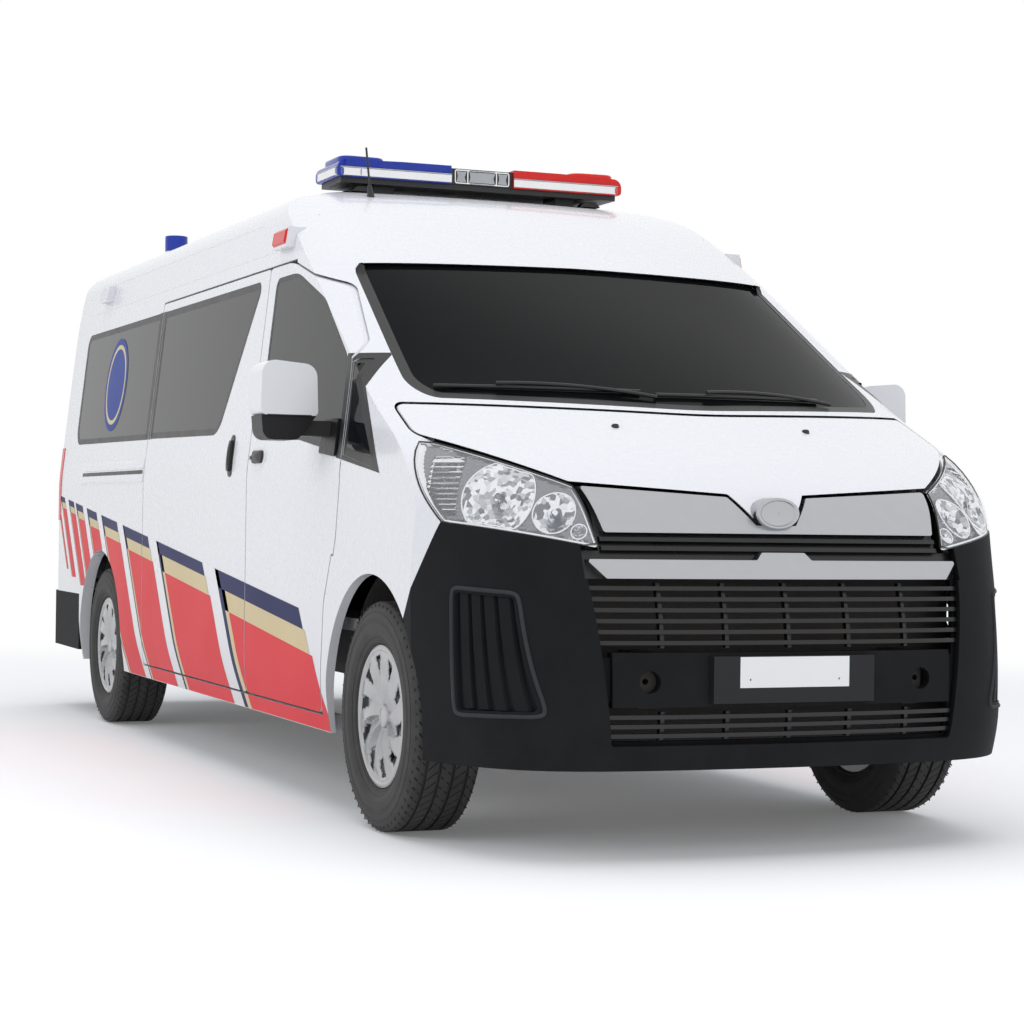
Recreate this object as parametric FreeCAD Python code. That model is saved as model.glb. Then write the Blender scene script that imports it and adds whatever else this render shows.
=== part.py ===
"""Long high-roof ambulance van: each piece is written to parts/NODE.step.

Units are millimetres.  +Z is up, the front faces -Y and the vehicle's right side is -X.  The origin
is on the ground, under the middle of the vehicle.
"""
import FreeCAD, Part
import math
import os
from FreeCAD import Vector as V

os.makedirs("parts", exist_ok=True)

# ---------------------------------------------------------------------------------------------
# Driving dimensions
# ---------------------------------------------------------------------------------------------
LENGTH = 5915.0            # over both bumpers
WIDTH = 1950.0             # over the side panels, without mirrors
BODY_HEIGHT = 2280.0       # ground to the crown of the roof
WHEELBASE = 3860.0
FRONT_OVERHANG = 930.0     # bumper face to front axle
REAR_STEP = 85.0           # rear bumper behind the tailgate
TRACK_FRONT = 1675.0
TRACK_REAR = 1670.0
TYRE_RADIUS = 356.0
TYRE_WIDTH = 235.0
RIM_RADIUS = 220.0         # over the rim's lip
SILL_Z = 265.0             # lowest edge of the body
ARCH_RADIUS = 440.0        # wheel-arch opening about each axle
WALL = 50.0                # side walls, doors and tailgate
INNER = WALL + 30.0        # inner face of the posts and the sills
ROOF_WALL = 50.0
NOSE_WALL = 30.0           # bonnet, lamps and bumper skin
SHUT_GAP = 8.0             # gap round each moving panel
GLASS = 5.0                # thickness of every pane
GLASS_SINK = 2.0           # how far the panes sit below the skin
SEAT_GAP = 0.3             # running or seating gap between neighbouring pieces
PANE_LIP = 22.0            # width of the rabbet that a pane rests on
FLOOR_Z = 640.0            # top of the load floor
FLOOR_T = 40.0

HALF_W = WIDTH / 2
FRONT_Y = -LENGTH / 2
REAR_Y = LENGTH / 2
AXLE_F = FRONT_Y + FRONT_OVERHANG
AXLE_R = AXLE_F + WHEELBASE
AXLE_Z = TYRE_RADIUS
BODY_REAR = REAR_Y - REAR_STEP
FAR = 4000.0               # beyond everything


def save(name, *shapes):
    """Write one sub-part, as its separate solids, to its STEP file."""
    solids = [s for shape in shapes for s in shape.Solids]
    shape = solids[0] if len(solids) == 1 else Part.makeCompound(solids)
    shape.exportStep("parts/%s.step" % name)
    print("%-24s solids %3d  valid %s  volume %.1f l" % (name, len(solids), shape.isValid(), shape.Volume / 1e6))


# ---------------------------------------------------------------------------------------------
# Outlines and solids made from them
# ---------------------------------------------------------------------------------------------
PLANES = {"x": lambda a, b: V(0, a, b), "y": lambda a, b: V(a, 0, b), "z": lambda a, b: V(a, b, 0)}
AXES = {"x": V(1, 0, 0), "y": V(0, 1, 0), "z": V(0, 0, 1)}


def outline(points, axis):
    """Closed face normal to an axis; a point is (a, b) or (a, b, corner radius)."""
    place = PLANES[axis]
    pts = [place(p[0], p[1]) for p in points]
    radii = [p[2] if len(p) > 2 else 0.0 for p in points]
    edges, n = [], len(pts)
    starts, ends = [None] * n, [None] * n
    arcs = [None] * n
    for i in range(n):
        p, r = pts[i], radii[i]
        if r <= 0:
            starts[i] = ends[i] = p
            continue
        a = (pts[i - 1] - p).normalize()
        b = (pts[(i + 1) % n] - p).normalize()
        half = a.getAngle(b) / 2
        run = r / math.tan(half)
        middle = (a + b).normalize()
        centre = p + middle * (r / math.sin(half))
        starts[i], ends[i] = p + a * run, p + b * run
        arcs[i] = Part.Arc(starts[i], centre - middle * r, ends[i]).toShape()
    for i in range(n):
        if arcs[i] is not None:
            edges.append(arcs[i])
        j = (i + 1) % n
        if (starts[j] - ends[i]).Length > 1e-6:
            edges.append(Part.LineSegment(ends[i], starts[j]).toShape())
    return Part.Face(Part.Wire(edges))


def grown(face, by):
    """The same face with its edge moved outward by a distance (inward if negative)."""
    return face if by == 0 else face.makeOffset2D(by)


def prism(face, axis, low, high):
    """Extrude a face along its axis, from one coordinate to another."""
    solid = face.extrude(AXES[axis] * (high - low))
    solid.translate(AXES[axis] * low)
    return solid


def box(x0, x1, y0, y1, z0, z1):
    return Part.makeBox(x1 - x0, y1 - y0, z1 - z0, V(x0, y0, z0))


def rod(start, end, r):
    """Cylinder between two points."""
    return Part.makeCylinder(r, (end - start).Length, start, end - start)


def mirrored(shape):
    """The same piece on the vehicle's other side."""
    return shape.mirror(V(0, 0, 0), V(1, 0, 0))


def fused(shapes):
    shapes = list(shapes)
    return shapes[0] if len(shapes) == 1 else shapes[0].multiFuse(shapes[1:]).removeSplitter()


# ---------------------------------------------------------------------------------------------
# The body's outer form: cross-section, tail profile, plan and nose surface
# ---------------------------------------------------------------------------------------------
# half cross-section: x, z, corner radius
SECTION = [
    (HALF_W - 22, SILL_Z, 0),
    (HALF_W, 420, 900),
    (HALF_W, 1120, 900),
    (HALF_W - 85, 1880, 1500),
    (HALF_W - 127, 2130, 130),
]
CROWN_RADIUS = 2000.0
CROWN_RISE = 70.0          # from the crown up to the corner where the two roof slopes would meet

# the two ends: height z, the end's distance from its datum at the centre line (positive toward the
# middle of the vehicle), bow of the plan curve, corner depth
NOSE = [
    (150, -840, 100, 400),
    (240, -885, 100, 420),
    (330, -920, 100, 430),
    (400, -930, 100, 430),
    (470, -930, 100, 430),
    (540, -930, 100, 430),
    (700, -915, 100, 430),
    (850, -866, 90, 400),
    (967, -806, 90, 300),
    (1060, -750, 80, 250),
    (1210, -502, 150, 140),
    (1317, -312, 330, 60),
    (1580, 165, 280, 90),
    (1846, 672, 130, 250),
    (2000, 940, 130, 340),
    (2120, 1180, 140, 360),
    (2200, 1480, 120, 350),
    (2250, 1950, 100, 300),
    (2290, 2800, 50, 200),
    (2330, 4200, 0, 100),
]
TAIL = [
    (-100, 0, 12, 60),
    (300, 0, 12, 60),
    (700, 0, 12, 60),
    (1250, 0, 12, 60),
    (1600, 16, 12, 60),
    (1880, 38, 12, 60),
    (2040, 58, 14, 60),
    (2150, 90, 20, 70),
    (2225, 190, 30, 80),
    (2268, 400, 30, 60),
    (2295, 800, 0, 0),
    (2330, 2000, 0, 0),
]
END_COLUMNS = [0, 0.25, 0.45, 0.6, 0.72, 0.81, 0.88, 0.94, 1.0, 1.05]
CORNER_POWER = 8


def end_depth(rows, row, share, inset):
    """Depth of an end at a share of the half width, moved inward by a wall thickness."""
    low, high = rows[max(row - 1, 0)], rows[min(row + 1, len(rows) - 1)]
    depth = lambda r: r[1] + r[2] * share ** 2 + r[3] * share ** CORNER_POWER
    slope_z = (depth(high) - depth(low)) / (high[0] - low[0])
    bow, corner = rows[row][2:]
    slope_x = (2 * bow * share + CORNER_POWER * corner * share ** (CORNER_POWER - 1)) / HALF_W
    return depth(rows[row]) + inset * math.sqrt(1 + slope_x ** 2 + slope_z ** 2)


def smooth_surface(grid):
    """Cubic surface shaped by a grid of control points."""
    mults, knots = [], []
    for count in (len(grid), len(grid[0])):
        inner = count - 4
        mults.append([4] + [1] * inner + [4])
        knots.append([float(k) for k in range(inner + 2)])
    surface = Part.BSplineSurface()
    surface.buildFromPolesMultsKnots(grid, mults[0], mults[1], knots[0], knots[1], False, False, 3, 3)
    return surface


def end_solid(rows, datum, inward, inset):
    """Everything on the inner side of an end's surface; inward is +1 for the nose, -1 for the tail."""
    shares = [-c for c in END_COLUMNS[:0:-1]] + END_COLUMNS
    grid = [[V(c * HALF_W, datum + inward * end_depth(rows, i, abs(c), inset), rows[i][0]) for c in shares]
            for i in range(len(rows))]
    return smooth_surface(grid).toShape().extrude(V(0, inward * 2 * FAR, 0))


def section_face(hollow):
    """Cross-section of the body; that of a hollow runs out below the sills."""
    half = [(SECTION[0][0], SECTION[0][1] - 250 * hollow, 0)] + SECTION[1:]
    left = [(-x, z, r) for x, z, r in half]
    return outline(left + [(0, BODY_HEIGHT + CROWN_RISE, CROWN_RADIUS)] + half[::-1], "y")


envelopes = {}


def envelope(inset):
    """The body's solid form with its surface moved inward by a distance, open below for a hollow."""
    if inset not in envelopes:
        section = grown(section_face(inset > 1), -inset)
        form = prism(section, "y", -FAR, FAR)
        form = form.common(end_solid(NOSE, AXLE_F, 1, inset))
        form = form.common(end_solid(TAIL, BODY_REAR, -1, inset))
        envelopes[inset] = largest(form)
    return envelopes[inset]


def largest(shape):
    return max(shape.Solids, key=lambda s: s.Volume)


def layer(outer, inner, *regions):
    """The part of the body's skin between two depths that lies inside every region."""
    zone = regions[0]
    for other in regions[1:]:
        zone = zone.common(other)
    return envelope(outer).common(zone).cut(envelope(inner))


def side_face(points):
    """Outline in the side view; y is measured from the front axle."""
    return outline([(AXLE_F + p[0], *p[1:]) for p in points], "x")


def both_sides(points, grow=0.0):
    return prism(grown(side_face(points), grow), "x", -FAR, FAR)


def right_side(points, grow=0.0):
    return prism(grown(side_face(points), grow), "x", -FAR, 0)


def front_face(half):
    """Symmetric outline in the front view from its points with x >= 0, lowest first."""
    left = [(-p[0], *p[1:]) for p in half if p[0] > 0]
    return outline(half + left[::-1], "y")


def front_zone(half, grow=0.0, low=-FAR, high=0.0):
    return prism(grown(front_face(half), grow), "y", low, AXLE_F + high)


# ---------------------------------------------------------------------------------------------
# Panel outlines: (y from the front axle, z, corner radius) seen from the side
# ---------------------------------------------------------------------------------------------
DOOR_TOP = 1872
DOOR_FOOT = 325
DOOR_FRONT_FOOT = 505
SILL_TOP = DOOR_FOOT - SHUT_GAP
B_SEAM = 1400              # between the front door and the one behind it
SLIDE_REAR = 3020          # rear edge of the sliding door
ROOF_SEAM = DOOR_TOP + SHUT_GAP
COWL_Z = 1300              # between the wings and the screen frame
FRAME_END = 1080           # where the door's top edge reaches the roof
HINGE_Y = 378              # axis of the front doors
STEP_Z = 850               # the seam steps past the hinge axis, so that the edge swings clear of the wing
DOOR = [
    (B_SEAM, DOOR_FOOT, 20), (DOOR_FRONT_FOOT, DOOR_FOOT, 40), (470, 690, 150), (HINGE_Y + 16, STEP_Z),
    (HINGE_Y - 4, STEP_Z), (352, 905, 150), (320, 1080, 150), (322, 1510, 130), (680, 1752, 260),
    (1130, DOOR_TOP, 500), (B_SEAM, DOOR_TOP, 20),
]
DOOR_WINDOW = [
    (1312, 1243, 30), (800, 1230, 200), (352, 1176, 15), (352, 1480, 100), (690, 1706, 240), (1050, 1828, 400),
    (1312, 1828, 40),
]
QUARTER = [(-45, 1120, 22), (302, 1170, 5), (302, 1480, 5), (262, 1480, 5)]
SLIDING = [
    (B_SEAM + SHUT_GAP, DOOR_FOOT, 20), (B_SEAM + SHUT_GAP, DOOR_TOP, 20), (SLIDE_REAR, DOOR_TOP, 20),
    (SLIDE_REAR, DOOR_FOOT, 20),
]
SLIDING_WINDOW = [(1475, 1836, 35), (SLIDE_REAR - 30, 1836, 15), (SLIDE_REAR - 30, 1290, 15), (1875, 1276, 150)]
REAR_WINDOW = [(SLIDE_REAR + 38, 1288, 15), (SLIDE_REAR + 38, 1836, 15), (4540, 1836, 70), (4540, 1300, 90)]
LAMP_LINE = [(-FAR, 850), (-760, 870), (-500, 962), (-252, 1222), (-252, 1500), (-FAR, 1500)]
BUMPER_LINE = [(-FAR, 200), (-252, 200), (-252, 592), (-500, 962), (-FAR, 962)]
WING = [(-252, 200), (-252, 592), (-500, 962), (-252, 1222), (-252, COWL_Z), (520, COWL_Z), (520, 500),
        (DOOR_FRONT_FOOT - SHUT_GAP, 400), (DOOR_FRONT_FOOT - SHUT_GAP, 200)]

TAILGATE_TOP = 2062

# the same for the front view: (x, z, corner radius), right half
LAMP = [(568, 893, 8), (1200, 1010), (1200, 1330), (597, 1070, 8)]
BONNET = [(0, 971), (58, 971, 8), (124, 1053, 12), (600, 1083, 30), (915, 1226, 25), (905, 1322, 25),
          (0, 1296, 4000)]
SCREEN = [(0, 1316, 3500), (847, 1345, 70), (783, 1840, 50), (0, 1852, 4000)]
TAILGATE = [(0, 600), (800, 600, 60), (790, 1300, 900), (742, TAILGATE_TOP, 120), (0, TAILGATE_TOP)]
TAIL_WINDOW = [(0, 1290), (690, 1290, 60), (652, 1850, 80), (0, 1850)]
GRILLE = [(0, 337), (555, 337, 10), (616, 830, 10), (0, 830)]


def pane_cutters(zone_of, points):
    """Rabbet and through hole that a pane of this outline leaves in its frame."""
    seat = envelope(-20).common(zone_of(points, SEAT_GAP)).cut(envelope(GLASS_SINK + GLASS + SEAT_GAP))
    return seat.fuse(zone_of(points, -PANE_LIP))


def pane(zone_of, points):
    return layer(GLASS_SINK, GLASS_SINK + GLASS, zone_of(points, 0))


REAR_SIDE = AXLE_F + 3900  # anything behind this is the rear face's region


def rear_zone(half, grow=0.0):
    return prism(grown(front_face(half), grow), "y", REAR_SIDE, FAR)


def arch(axle_y, radius=ARCH_RADIUS):
    return Part.makeCylinder(radius, 2 * FAR, V(-FAR, axle_y, AXLE_Z), V(1, 0, 0))


ARCHES = arch(AXLE_F).fuse(arch(AXLE_R))
BUMPER_START = 455         # front end of the rear bumper's sides, behind the rear axle
REAR_BUMPER_Z = (310, 578)
TAIL_LAMP_T = 30
TAIL_LAMP_ZONE = box(-FAR, -818, BODY_REAR - 120, FAR, 930, 1290)
DOOR_T = WALL - 6          # doors stay clear of the inner jambs

# ---------------------------------------------------------------------------------------------
# Body panels
# ---------------------------------------------------------------------------------------------


def windscreen_frame():
    """Frame round the windscreen, down to the cowl, with the brackets of the bonnet hinges."""
    half = layer(0, 40, box(-FAR, 0, -FAR, AXLE_F + FRAME_END, COWL_Z, ROOF_SEAM))
    for cutter in (right_side(DOOR, SHUT_GAP), front_zone(BONNET, SHUT_GAP, high=260),
                   pane_cutters(screen_zone, SCREEN), pane_cutters(right_side, QUARTER)):
        half = half.cut(cutter)
    half = fused([largest(half), bonnet_bracket(-BONNET_HINGE_X)])
    return fused([half, mirrored(half)])


def screen_zone(points, grow=0.0):
    return front_zone(points, grow, high=1000)


def front_wing():
    """Right wing, from the lamp back to the door."""
    wing = layer(0, NOSE_WALL, right_side(WING))
    sweep = Part.makeCylinder(HINGE_SWEEP, 60, V(HINGE.x, HINGE.y, STEP_Z - SHUT_GAP)).common(envelope(SKIN_T))
    for cutter in (front_zone(BONNET, SHUT_GAP, high=260), right_side(DOOR, SHUT_GAP), arch(AXLE_F),
                   pane_cutters(right_side, QUARTER), sweep):
        wing = wing.cut(cutter)
    return fused([largest(wing)] + [hinge_bracket(z) for z in HINGE_Z])


def side_wall(sliding):
    """Right wall behind the front door; the vehicle's right has a sliding door in it."""
    front = SLIDE_REAR + SHUT_GAP if sliding else B_SEAM + SHUT_GAP
    zone = box(-FAR, 0, AXLE_F + front, FAR, SILL_Z, ROOF_SEAM)
    above_sill = box(-FAR, 0, -FAR, AXLE_F + SLIDE_REAR + SHUT_GAP + SEAT_GAP, 0, SILL_TOP + SEAT_GAP)
    wall = layer(0, WALL, zone)
    cutters = [ARCHES, rear_zone(TAILGATE, SHUT_GAP), bumper_rear_zone(), above_sill,
               pane_cutters(right_side, REAR_WINDOW), layer(-20, TAIL_LAMP_T + SEAT_GAP, TAIL_LAMP_ZONE)]
    if not sliding:
        cutters.append(pane_cutters(right_side, SLIDING_WINDOW))
    for cutter in cutters:
        wall = wall.cut(cutter)
    return largest(wall)


def pillar(y):
    """Right inner post behind a shut line, from the sill to the roof."""
    zone = box(-FAR, 0, AXLE_F + y - 60, AXLE_F + y + 60, SILL_TOP + SEAT_GAP, ROOF_SEAM + 60)
    return largest(layer(WALL + SEAT_GAP, INNER, zone))


def sill():
    """Right sill below the doors."""
    zone = box(-FAR, 0, AXLE_F + DOOR_FRONT_FOOT - SHUT_GAP, AXLE_F + SLIDE_REAR + SHUT_GAP, SILL_Z, SILL_TOP)
    return largest(layer(0, INNER, zone).cut(ARCHES))


def bumper_rear_zone():
    """Room in the side walls for the rear bumper, and for the step under the tailgate."""
    step = box(-TAILGATE[1][0], TAILGATE[1][0], REAR_SIDE, FAR, SILL_Z, TAILGATE[0][1])
    return box(-FAR, FAR, AXLE_R + BUMPER_START, FAR, SILL_Z - 50, REAR_BUMPER_Z[1]).fuse(step)


def roof():
    shape = layer(0, ROOF_WALL, box(-FAR, FAR, -FAR, FAR, ROOF_SEAM, FAR))
    sweep = rod(GATE_HINGE - V(TAILGATE[1][0], 0, 0), GATE_HINGE + V(TAILGATE[1][0], 0, 0), GATE_SWEEP)
    return largest(shape.cut(rear_zone(TAILGATE, SHUT_GAP)).cut(sweep))


def front_door():
    """Right front door: skin, window rabbet and the pockets for its hinges."""
    door = layer(0, DOOR_T, right_side(DOOR)).cut(pane_cutters(right_side, DOOR_WINDOW))
    for z in HINGE_Z:
        door = door.cut(hinge_pocket(z))
    return fused([largest(door)] + [hinge_barrel(z) for z in HINGE_Z])


def sliding_door():
    """Right sliding door, shut; its inner face rests on the posts."""
    return largest(layer(0, WALL, right_side(SLIDING)).cut(pane_cutters(right_side, SLIDING_WINDOW)))


def tailgate():
    """Tailgate with a slot and a bore through its top for each hinge."""
    gate = largest(layer(0, DOOR_T, rear_zone(TAILGATE)).cut(pane_cutters(rear_zone, TAIL_WINDOW)))
    for x in (-GATE_HINGE_X, GATE_HINGE_X):
        centre = V(x, GATE_HINGE.y, GATE_HINGE.z)
        slot = box(x - 8, x + 8, centre.y - 60, centre.y + 14, centre.z - 14, centre.z + 80)
        bore = rod(centre - V(32, 0, 0), centre + V(32, 0, 0), PIN_R + PIN_FIT)
        gate = gate.cut(slot).cut(bore)
    return largest(gate)


def gate_bracket(x):
    """Hinge arm that hangs from the roof's inside and comes to the pin from within."""
    y, z = GATE_HINGE.y, GATE_HINGE.z
    hanger = box(x - 6, x + 6, y - 96, y - 66, z - 8, z + 160).common(envelope(ROOF_WALL + SEAT_GAP))
    arm = box(x - 6, x + 6, y - 80, y + 8, z - 8, z + 8)
    return fused([largest(hanger), arm, rod(V(x - 30, y, z), V(x + 30, y, z), PIN_R)])


def bonnet():
    """Bonnet with its two goose-neck hinge arms, which pass below the screen frame's lower edge."""
    panel = layer(0, BONNET_T, front_zone(BONNET, 0, high=260))
    panel = largest(panel.cut(envelope(SKIN_T).cut(front_zone(BONNET, -BONNET_HEM, high=300))))
    y, z = BONNET_HINGE.y, BONNET_HINGE.z
    neck = outline([(y - 12, z + 12, 5), (y + 12, z + 12, 5), (y + 12, z - 145, 12), (y - 205, z - 145, 12),
                    (y - 205, z - 36), (y - 180, z - 36), (y - 180, z - 122), (y - 12, z - 122)], "x")
    arms = []
    for x in (-BONNET_HINGE_X, BONNET_HINGE_X):
        bore = rod(V(x - 20, y, z), V(x + 20, y, z), PIN_R + PIN_FIT)
        arms.append(prism(neck, "x", x - 7, x + 7).cut(bore))
    return fused([panel, *arms])


def bonnet_bracket(x):
    """Two cheeks under the screen frame with the pin that a bonnet arm turns on."""
    y, z = BONNET_HINGE.y, BONNET_HINGE.z
    cheeks = [box(x + a, x + a + 8, y - 14, y + 14, z - 12, z + 90) for a in (-17, 9)]
    return fused([c.common(envelope(15)) for c in cheeks] + [rod(V(x - 12, y, z), V(x + 12, y, z), PIN_R)])


# ---------------------------------------------------------------------------------------------
# Front door hinges: upright pin on a bracket from the wing, barrel on the door
# ---------------------------------------------------------------------------------------------
HINGE = V(-HALF_W + 14, AXLE_F + HINGE_Y, 0)   # axis of the right door
HINGE_Z = (880, 1080)      # foot of each hinge
HINGE_H = 60
PIN_R = 5.0
BARREL_R = 10.0
PIN_FIT = 0.05
GATE_HINGE = V(0, BODY_REAR - 80, TAILGATE_TOP - 50)   # axis of the tailgate, 25 inside its skin
GATE_HINGE_X = 400         # tailgate hinges, from the centre line
GATE_SWEEP = 62            # room for the gate's top edge as it swings inward
BONNET_HINGE = V(0, AXLE_F + 60, COWL_Z + 10)
BONNET_HINGE_X = 830
BONNET_T = 20              # over the bonnet's inner frame
BONNET_HEM = 45            # width of the thin edge outside that frame
SKIN_T = 5                 # thin edge of the bonnet, and of the wing where the door swings past it
HINGE_SWEEP = 26           # room in the wing for the door's front edge


def hinge_pocket(z):
    """Room in the door round a hinge, behind the outer skin."""
    skin = HINGE.x - BARREL_R - 0.5
    return box(skin, HINGE.x + 60, HINGE.y - 80, HINGE.y + 20, z - 6, z + HINGE_H + 6)


def hinge_barrel(z):
    barrel = Part.makeCylinder(BARREL_R, HINGE_H - 14, V(HINGE.x, HINGE.y, z + 14))
    arm = box(HINGE.x - 5, HINGE.x + 7, HINGE.y, HINGE.y + 21, z + 14, z + HINGE_H)
    bore = Part.makeCylinder(PIN_R + PIN_FIT, HINGE_H + 20, V(HINGE.x, HINGE.y, z - 1))
    return barrel.fuse(arm).cut(bore)


def hinge_bracket(z):
    """Bracket from the wing's inner face, round the door's edge, to the pin."""
    root = -HALF_W + NOSE_WALL - 10
    near, far, front = HINGE.x + 66, HINGE.x + 80, HINGE.y - 108
    points = [(HINGE.x - PIN_R, HINGE.y - 8), (near, HINGE.y - 8), (near, front + 34), (root, front + 34),
              (root, front), (far, front), (far, HINGE.y + 8), (HINGE.x - PIN_R, HINGE.y + 8)]
    plate = prism(outline(points, "z"), "z", z, z + 13)
    pin = Part.makeCylinder(PIN_R, HINGE_H, V(HINGE.x, HINGE.y, z))
    return plate.fuse(pin)

# ---------------------------------------------------------------------------------------------
# Front face: bumper, grille and lamps
# ---------------------------------------------------------------------------------------------
LENS_T = 5
SLAT_ROWS = [(352, 432, 3), (612, 796, 6), (880, 932, 2)]   # lowest z, highest z, number of slats
SLAT_T = 12
GRILLE_LIP = 12            # how far the frame reaches in behind the grille's edge
PANEL_Z = (806, 1058)      # dark panel behind the bright bars
PANEL_HALF = 560
TOW_X = 444                # towing-eye openings
TOW_Z = 517
TOW_R = 9.0
TOW_END = 745              # inner end of the towing-eye sockets, ahead of the axle
PLATE_Z = 523
PLATE_SPACING = 290.0
PLATE_HOLE_R = 3.3
UPPER_BAR = [(0, 938), (545, 938, 10), (577, 1070, 8), (132, 1044, 10), (66, 962, 8), (0, 962)]
DUCT = [(-560, 760, 12), (-738, 750, 12), (-812, 432, 12), (-590, 424, 12)]
DUCT_DEPTH = 16
DUCT_VANES = 4
LOWER_BAR = [(0, 808), (560, 808, 6), (612, 862, 6), (90, 862, 8), (70, 884, 8), (0, 884)]


def lamp_zone(grow=0.0):
    face = grown(outline(LAMP, "y"), grow)
    side = grown(side_face(LAMP_LINE), grow)
    return prism(face, "y", -FAR, AXLE_F).common(prism(side, "x", -FAR, FAR))


def duct_vanes():
    """Slanted strips that stand in the right duct of the front bumper."""
    (rear_top, top), (front_top, _t), (front_foot, foot), (rear_foot, _f) = [p[:2] for p in DUCT]
    vanes = []
    for i in range(DUCT_VANES):
        share = (i + 0.75) / (DUCT_VANES + 0.5)
        high = rear_top + (front_top - rear_top) * share
        low = rear_foot + (front_foot - rear_foot) * share
        strip = [(high - 14, top), (high + 14, top), (low + 14, foot), (low - 14, foot)]
        vanes.append(layer(4, DUCT_DEPTH + 1, right_side(strip), right_side(DUCT, -1)))
    return vanes


def front_bumper():
    """Bumper skin with a vaned duct in each corner, its middle panel and the frame that holds the grille."""
    zone = both_sides(BUMPER_LINE)
    skin = layer(0, NOSE_WALL, zone.common(box(-FAR, FAR, -FAR, AXLE_F, SILL_Z, 960)))
    lamps = lamp_zone()
    duct = layer(-1, DUCT_DEPTH, right_side(DUCT))
    for cutter in (lamps, mirrored(lamps), front_zone(GRILLE), arch(AXLE_F), duct, mirrored(duct),
                   box(-620, 620, -FAR, AXLE_F, PANEL_Z[0], 1100)):
        skin = skin.cut(cutter)
    vanes = duct_vanes()
    skin = fused([largest(skin), *vanes, *[mirrored(v) for v in vanes]])
    plate_panel = fused([layer(12, 45, box(-553, 553, -FAR, AXLE_F, 446, 600)),
                         layer(28, 45, box(-590, 590, -FAR, AXLE_F, 460, 586))])
    for x in (-TOW_X, TOW_X):
        plate_panel = plate_panel.cut(rod(V(x, -FAR, TOW_Z), V(x, AXLE_F, TOW_Z), 32))
    frame = layer(28, 45, front_zone(GRILLE, 40).cut(front_zone(GRILLE, -GRILLE_LIP, high=10)))
    frame = frame.cut(box(-FAR, FAR, -FAR, AXLE_F, PANEL_Z[0] - SEAT_GAP, FAR))
    return fused([largest(skin), largest(plate_panel), largest(frame)])


def plate_holder():
    """Number-plate holder on the bumper's middle panel, with two screw holes."""
    holder = box(-262, 262, FRONT_Y, FRONT_Y + 85, 456, 590).cut(envelope(12 - SEAT_GAP))
    for x in (-PLATE_SPACING / 2, PLATE_SPACING / 2):
        holder = holder.cut(rod(V(x, FRONT_Y - 1, PLATE_Z), V(x, FRONT_Y + 85, PLATE_Z), PLATE_HOLE_R))
    return largest(holder)


def grille_half(z):
    """Half width of the grille's opening at a height."""
    (_x, low), (x_low, *_a), (x_high, high, _b), _top = GRILLE
    return x_low + (x_high - x_low) * (z - low) / (high - low)


def grille():
    """Black grille: rows of slats that follow the nose, with uprights and the panel behind them."""
    pieces = []
    for low, high, count in SLAT_ROWS:
        step = (high - low) / count
        for i in range(count):
            z = low + step * (i + 0.5)
            half = grille_half(z) - 3 if z < PANEL_Z[0] else PANEL_HALF - 4
            pieces.append(layer(12, 28 - SEAT_GAP, box(-half, half, -FAR, AXLE_F, z - SLAT_T / 2, z + SLAT_T / 2)))
        for x in (-400, -200, 0, 200, 400):
            pieces.append(layer(26, 44, box(x - 6, x + 6, -FAR, AXLE_F, low, high)))
    pieces.append(layer(26, 44, front_zone([(0, PANEL_Z[0]), (614, PANEL_Z[0]), (614, 885), (PANEL_HALF, 885),
                                            (PANEL_HALF, PANEL_Z[1]), (0, PANEL_Z[1])])))
    return fused(pieces)


def grille_bars():
    upper = layer(0, 26 - SEAT_GAP, front_zone(UPPER_BAR))
    lower = layer(-4, 26 - SEAT_GAP, front_zone(LOWER_BAR))
    return largest(upper), largest(lower)


def headlamp():
    """Right lamp housing: a bucket whose rim carries the lens."""
    bucket = layer(LENS_T + SEAT_GAP, 60, lamp_zone(-SEAT_GAP))
    return largest(bucket.cut(layer(-1, 50, lamp_zone(-8))))


def headlamp_lens():
    return largest(layer(0, LENS_T, lamp_zone(-SEAT_GAP)))


# ---------------------------------------------------------------------------------------------
# Wheels, steering knuckles and axles
# ---------------------------------------------------------------------------------------------
KING_X = 780.0             # kingpin's distance from the centre line
KING_R = 14.0
RAIL_X = 430               # chassis rails: distance from the centre line, lowest and highest z
RAIL_Z = (440, FLOOR_Z - FLOOR_T - SEAT_GAP)
STEER = 35.0
HUB_R = 60.0
RIM_W = 178.0
TYRE_FIT = 0.3
STUB_R = 25.0
SPOKES = 10


def wheel_profile(points, x, y):
    """Solid of revolution about a wheel's axis; points are (offset outward, radius, corner radius)."""
    face = outline(points, "y")
    solid = face.revolve(V(0, 0, 0), V(1, 0, 0), 360)
    solid.translate(V(x, y, AXLE_Z))
    return solid


def tyre(x, y):
    w = TYRE_WIDTH / 2
    bead = RIM_W / 2 - TYRE_FIT
    foot = RIM_RADIUS - 16 + TYRE_FIT
    points = [(-bead, foot), (-bead, RIM_RADIUS + 1), (-bead - 9, RIM_RADIUS + 6), (-w, 262, 30),
              (-w + 2, 325, 60), (-w + 22, TYRE_RADIUS, 18)]
    for groove in (-66, -22, 22, 66):
        points += [(groove - 5, TYRE_RADIUS), (groove - 5, TYRE_RADIUS - 8), (groove + 5, TYRE_RADIUS - 8),
                   (groove + 5, TYRE_RADIUS)]
    points += [(w - 22, TYRE_RADIUS, 18), (w - 2, 325, 60), (w, 262, 30), (bead + 9, RIM_RADIUS + 6)]
    points += [(bead, RIM_RADIUS + 1), (bead, foot)]
    return wheel_profile(points, x, y)


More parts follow.
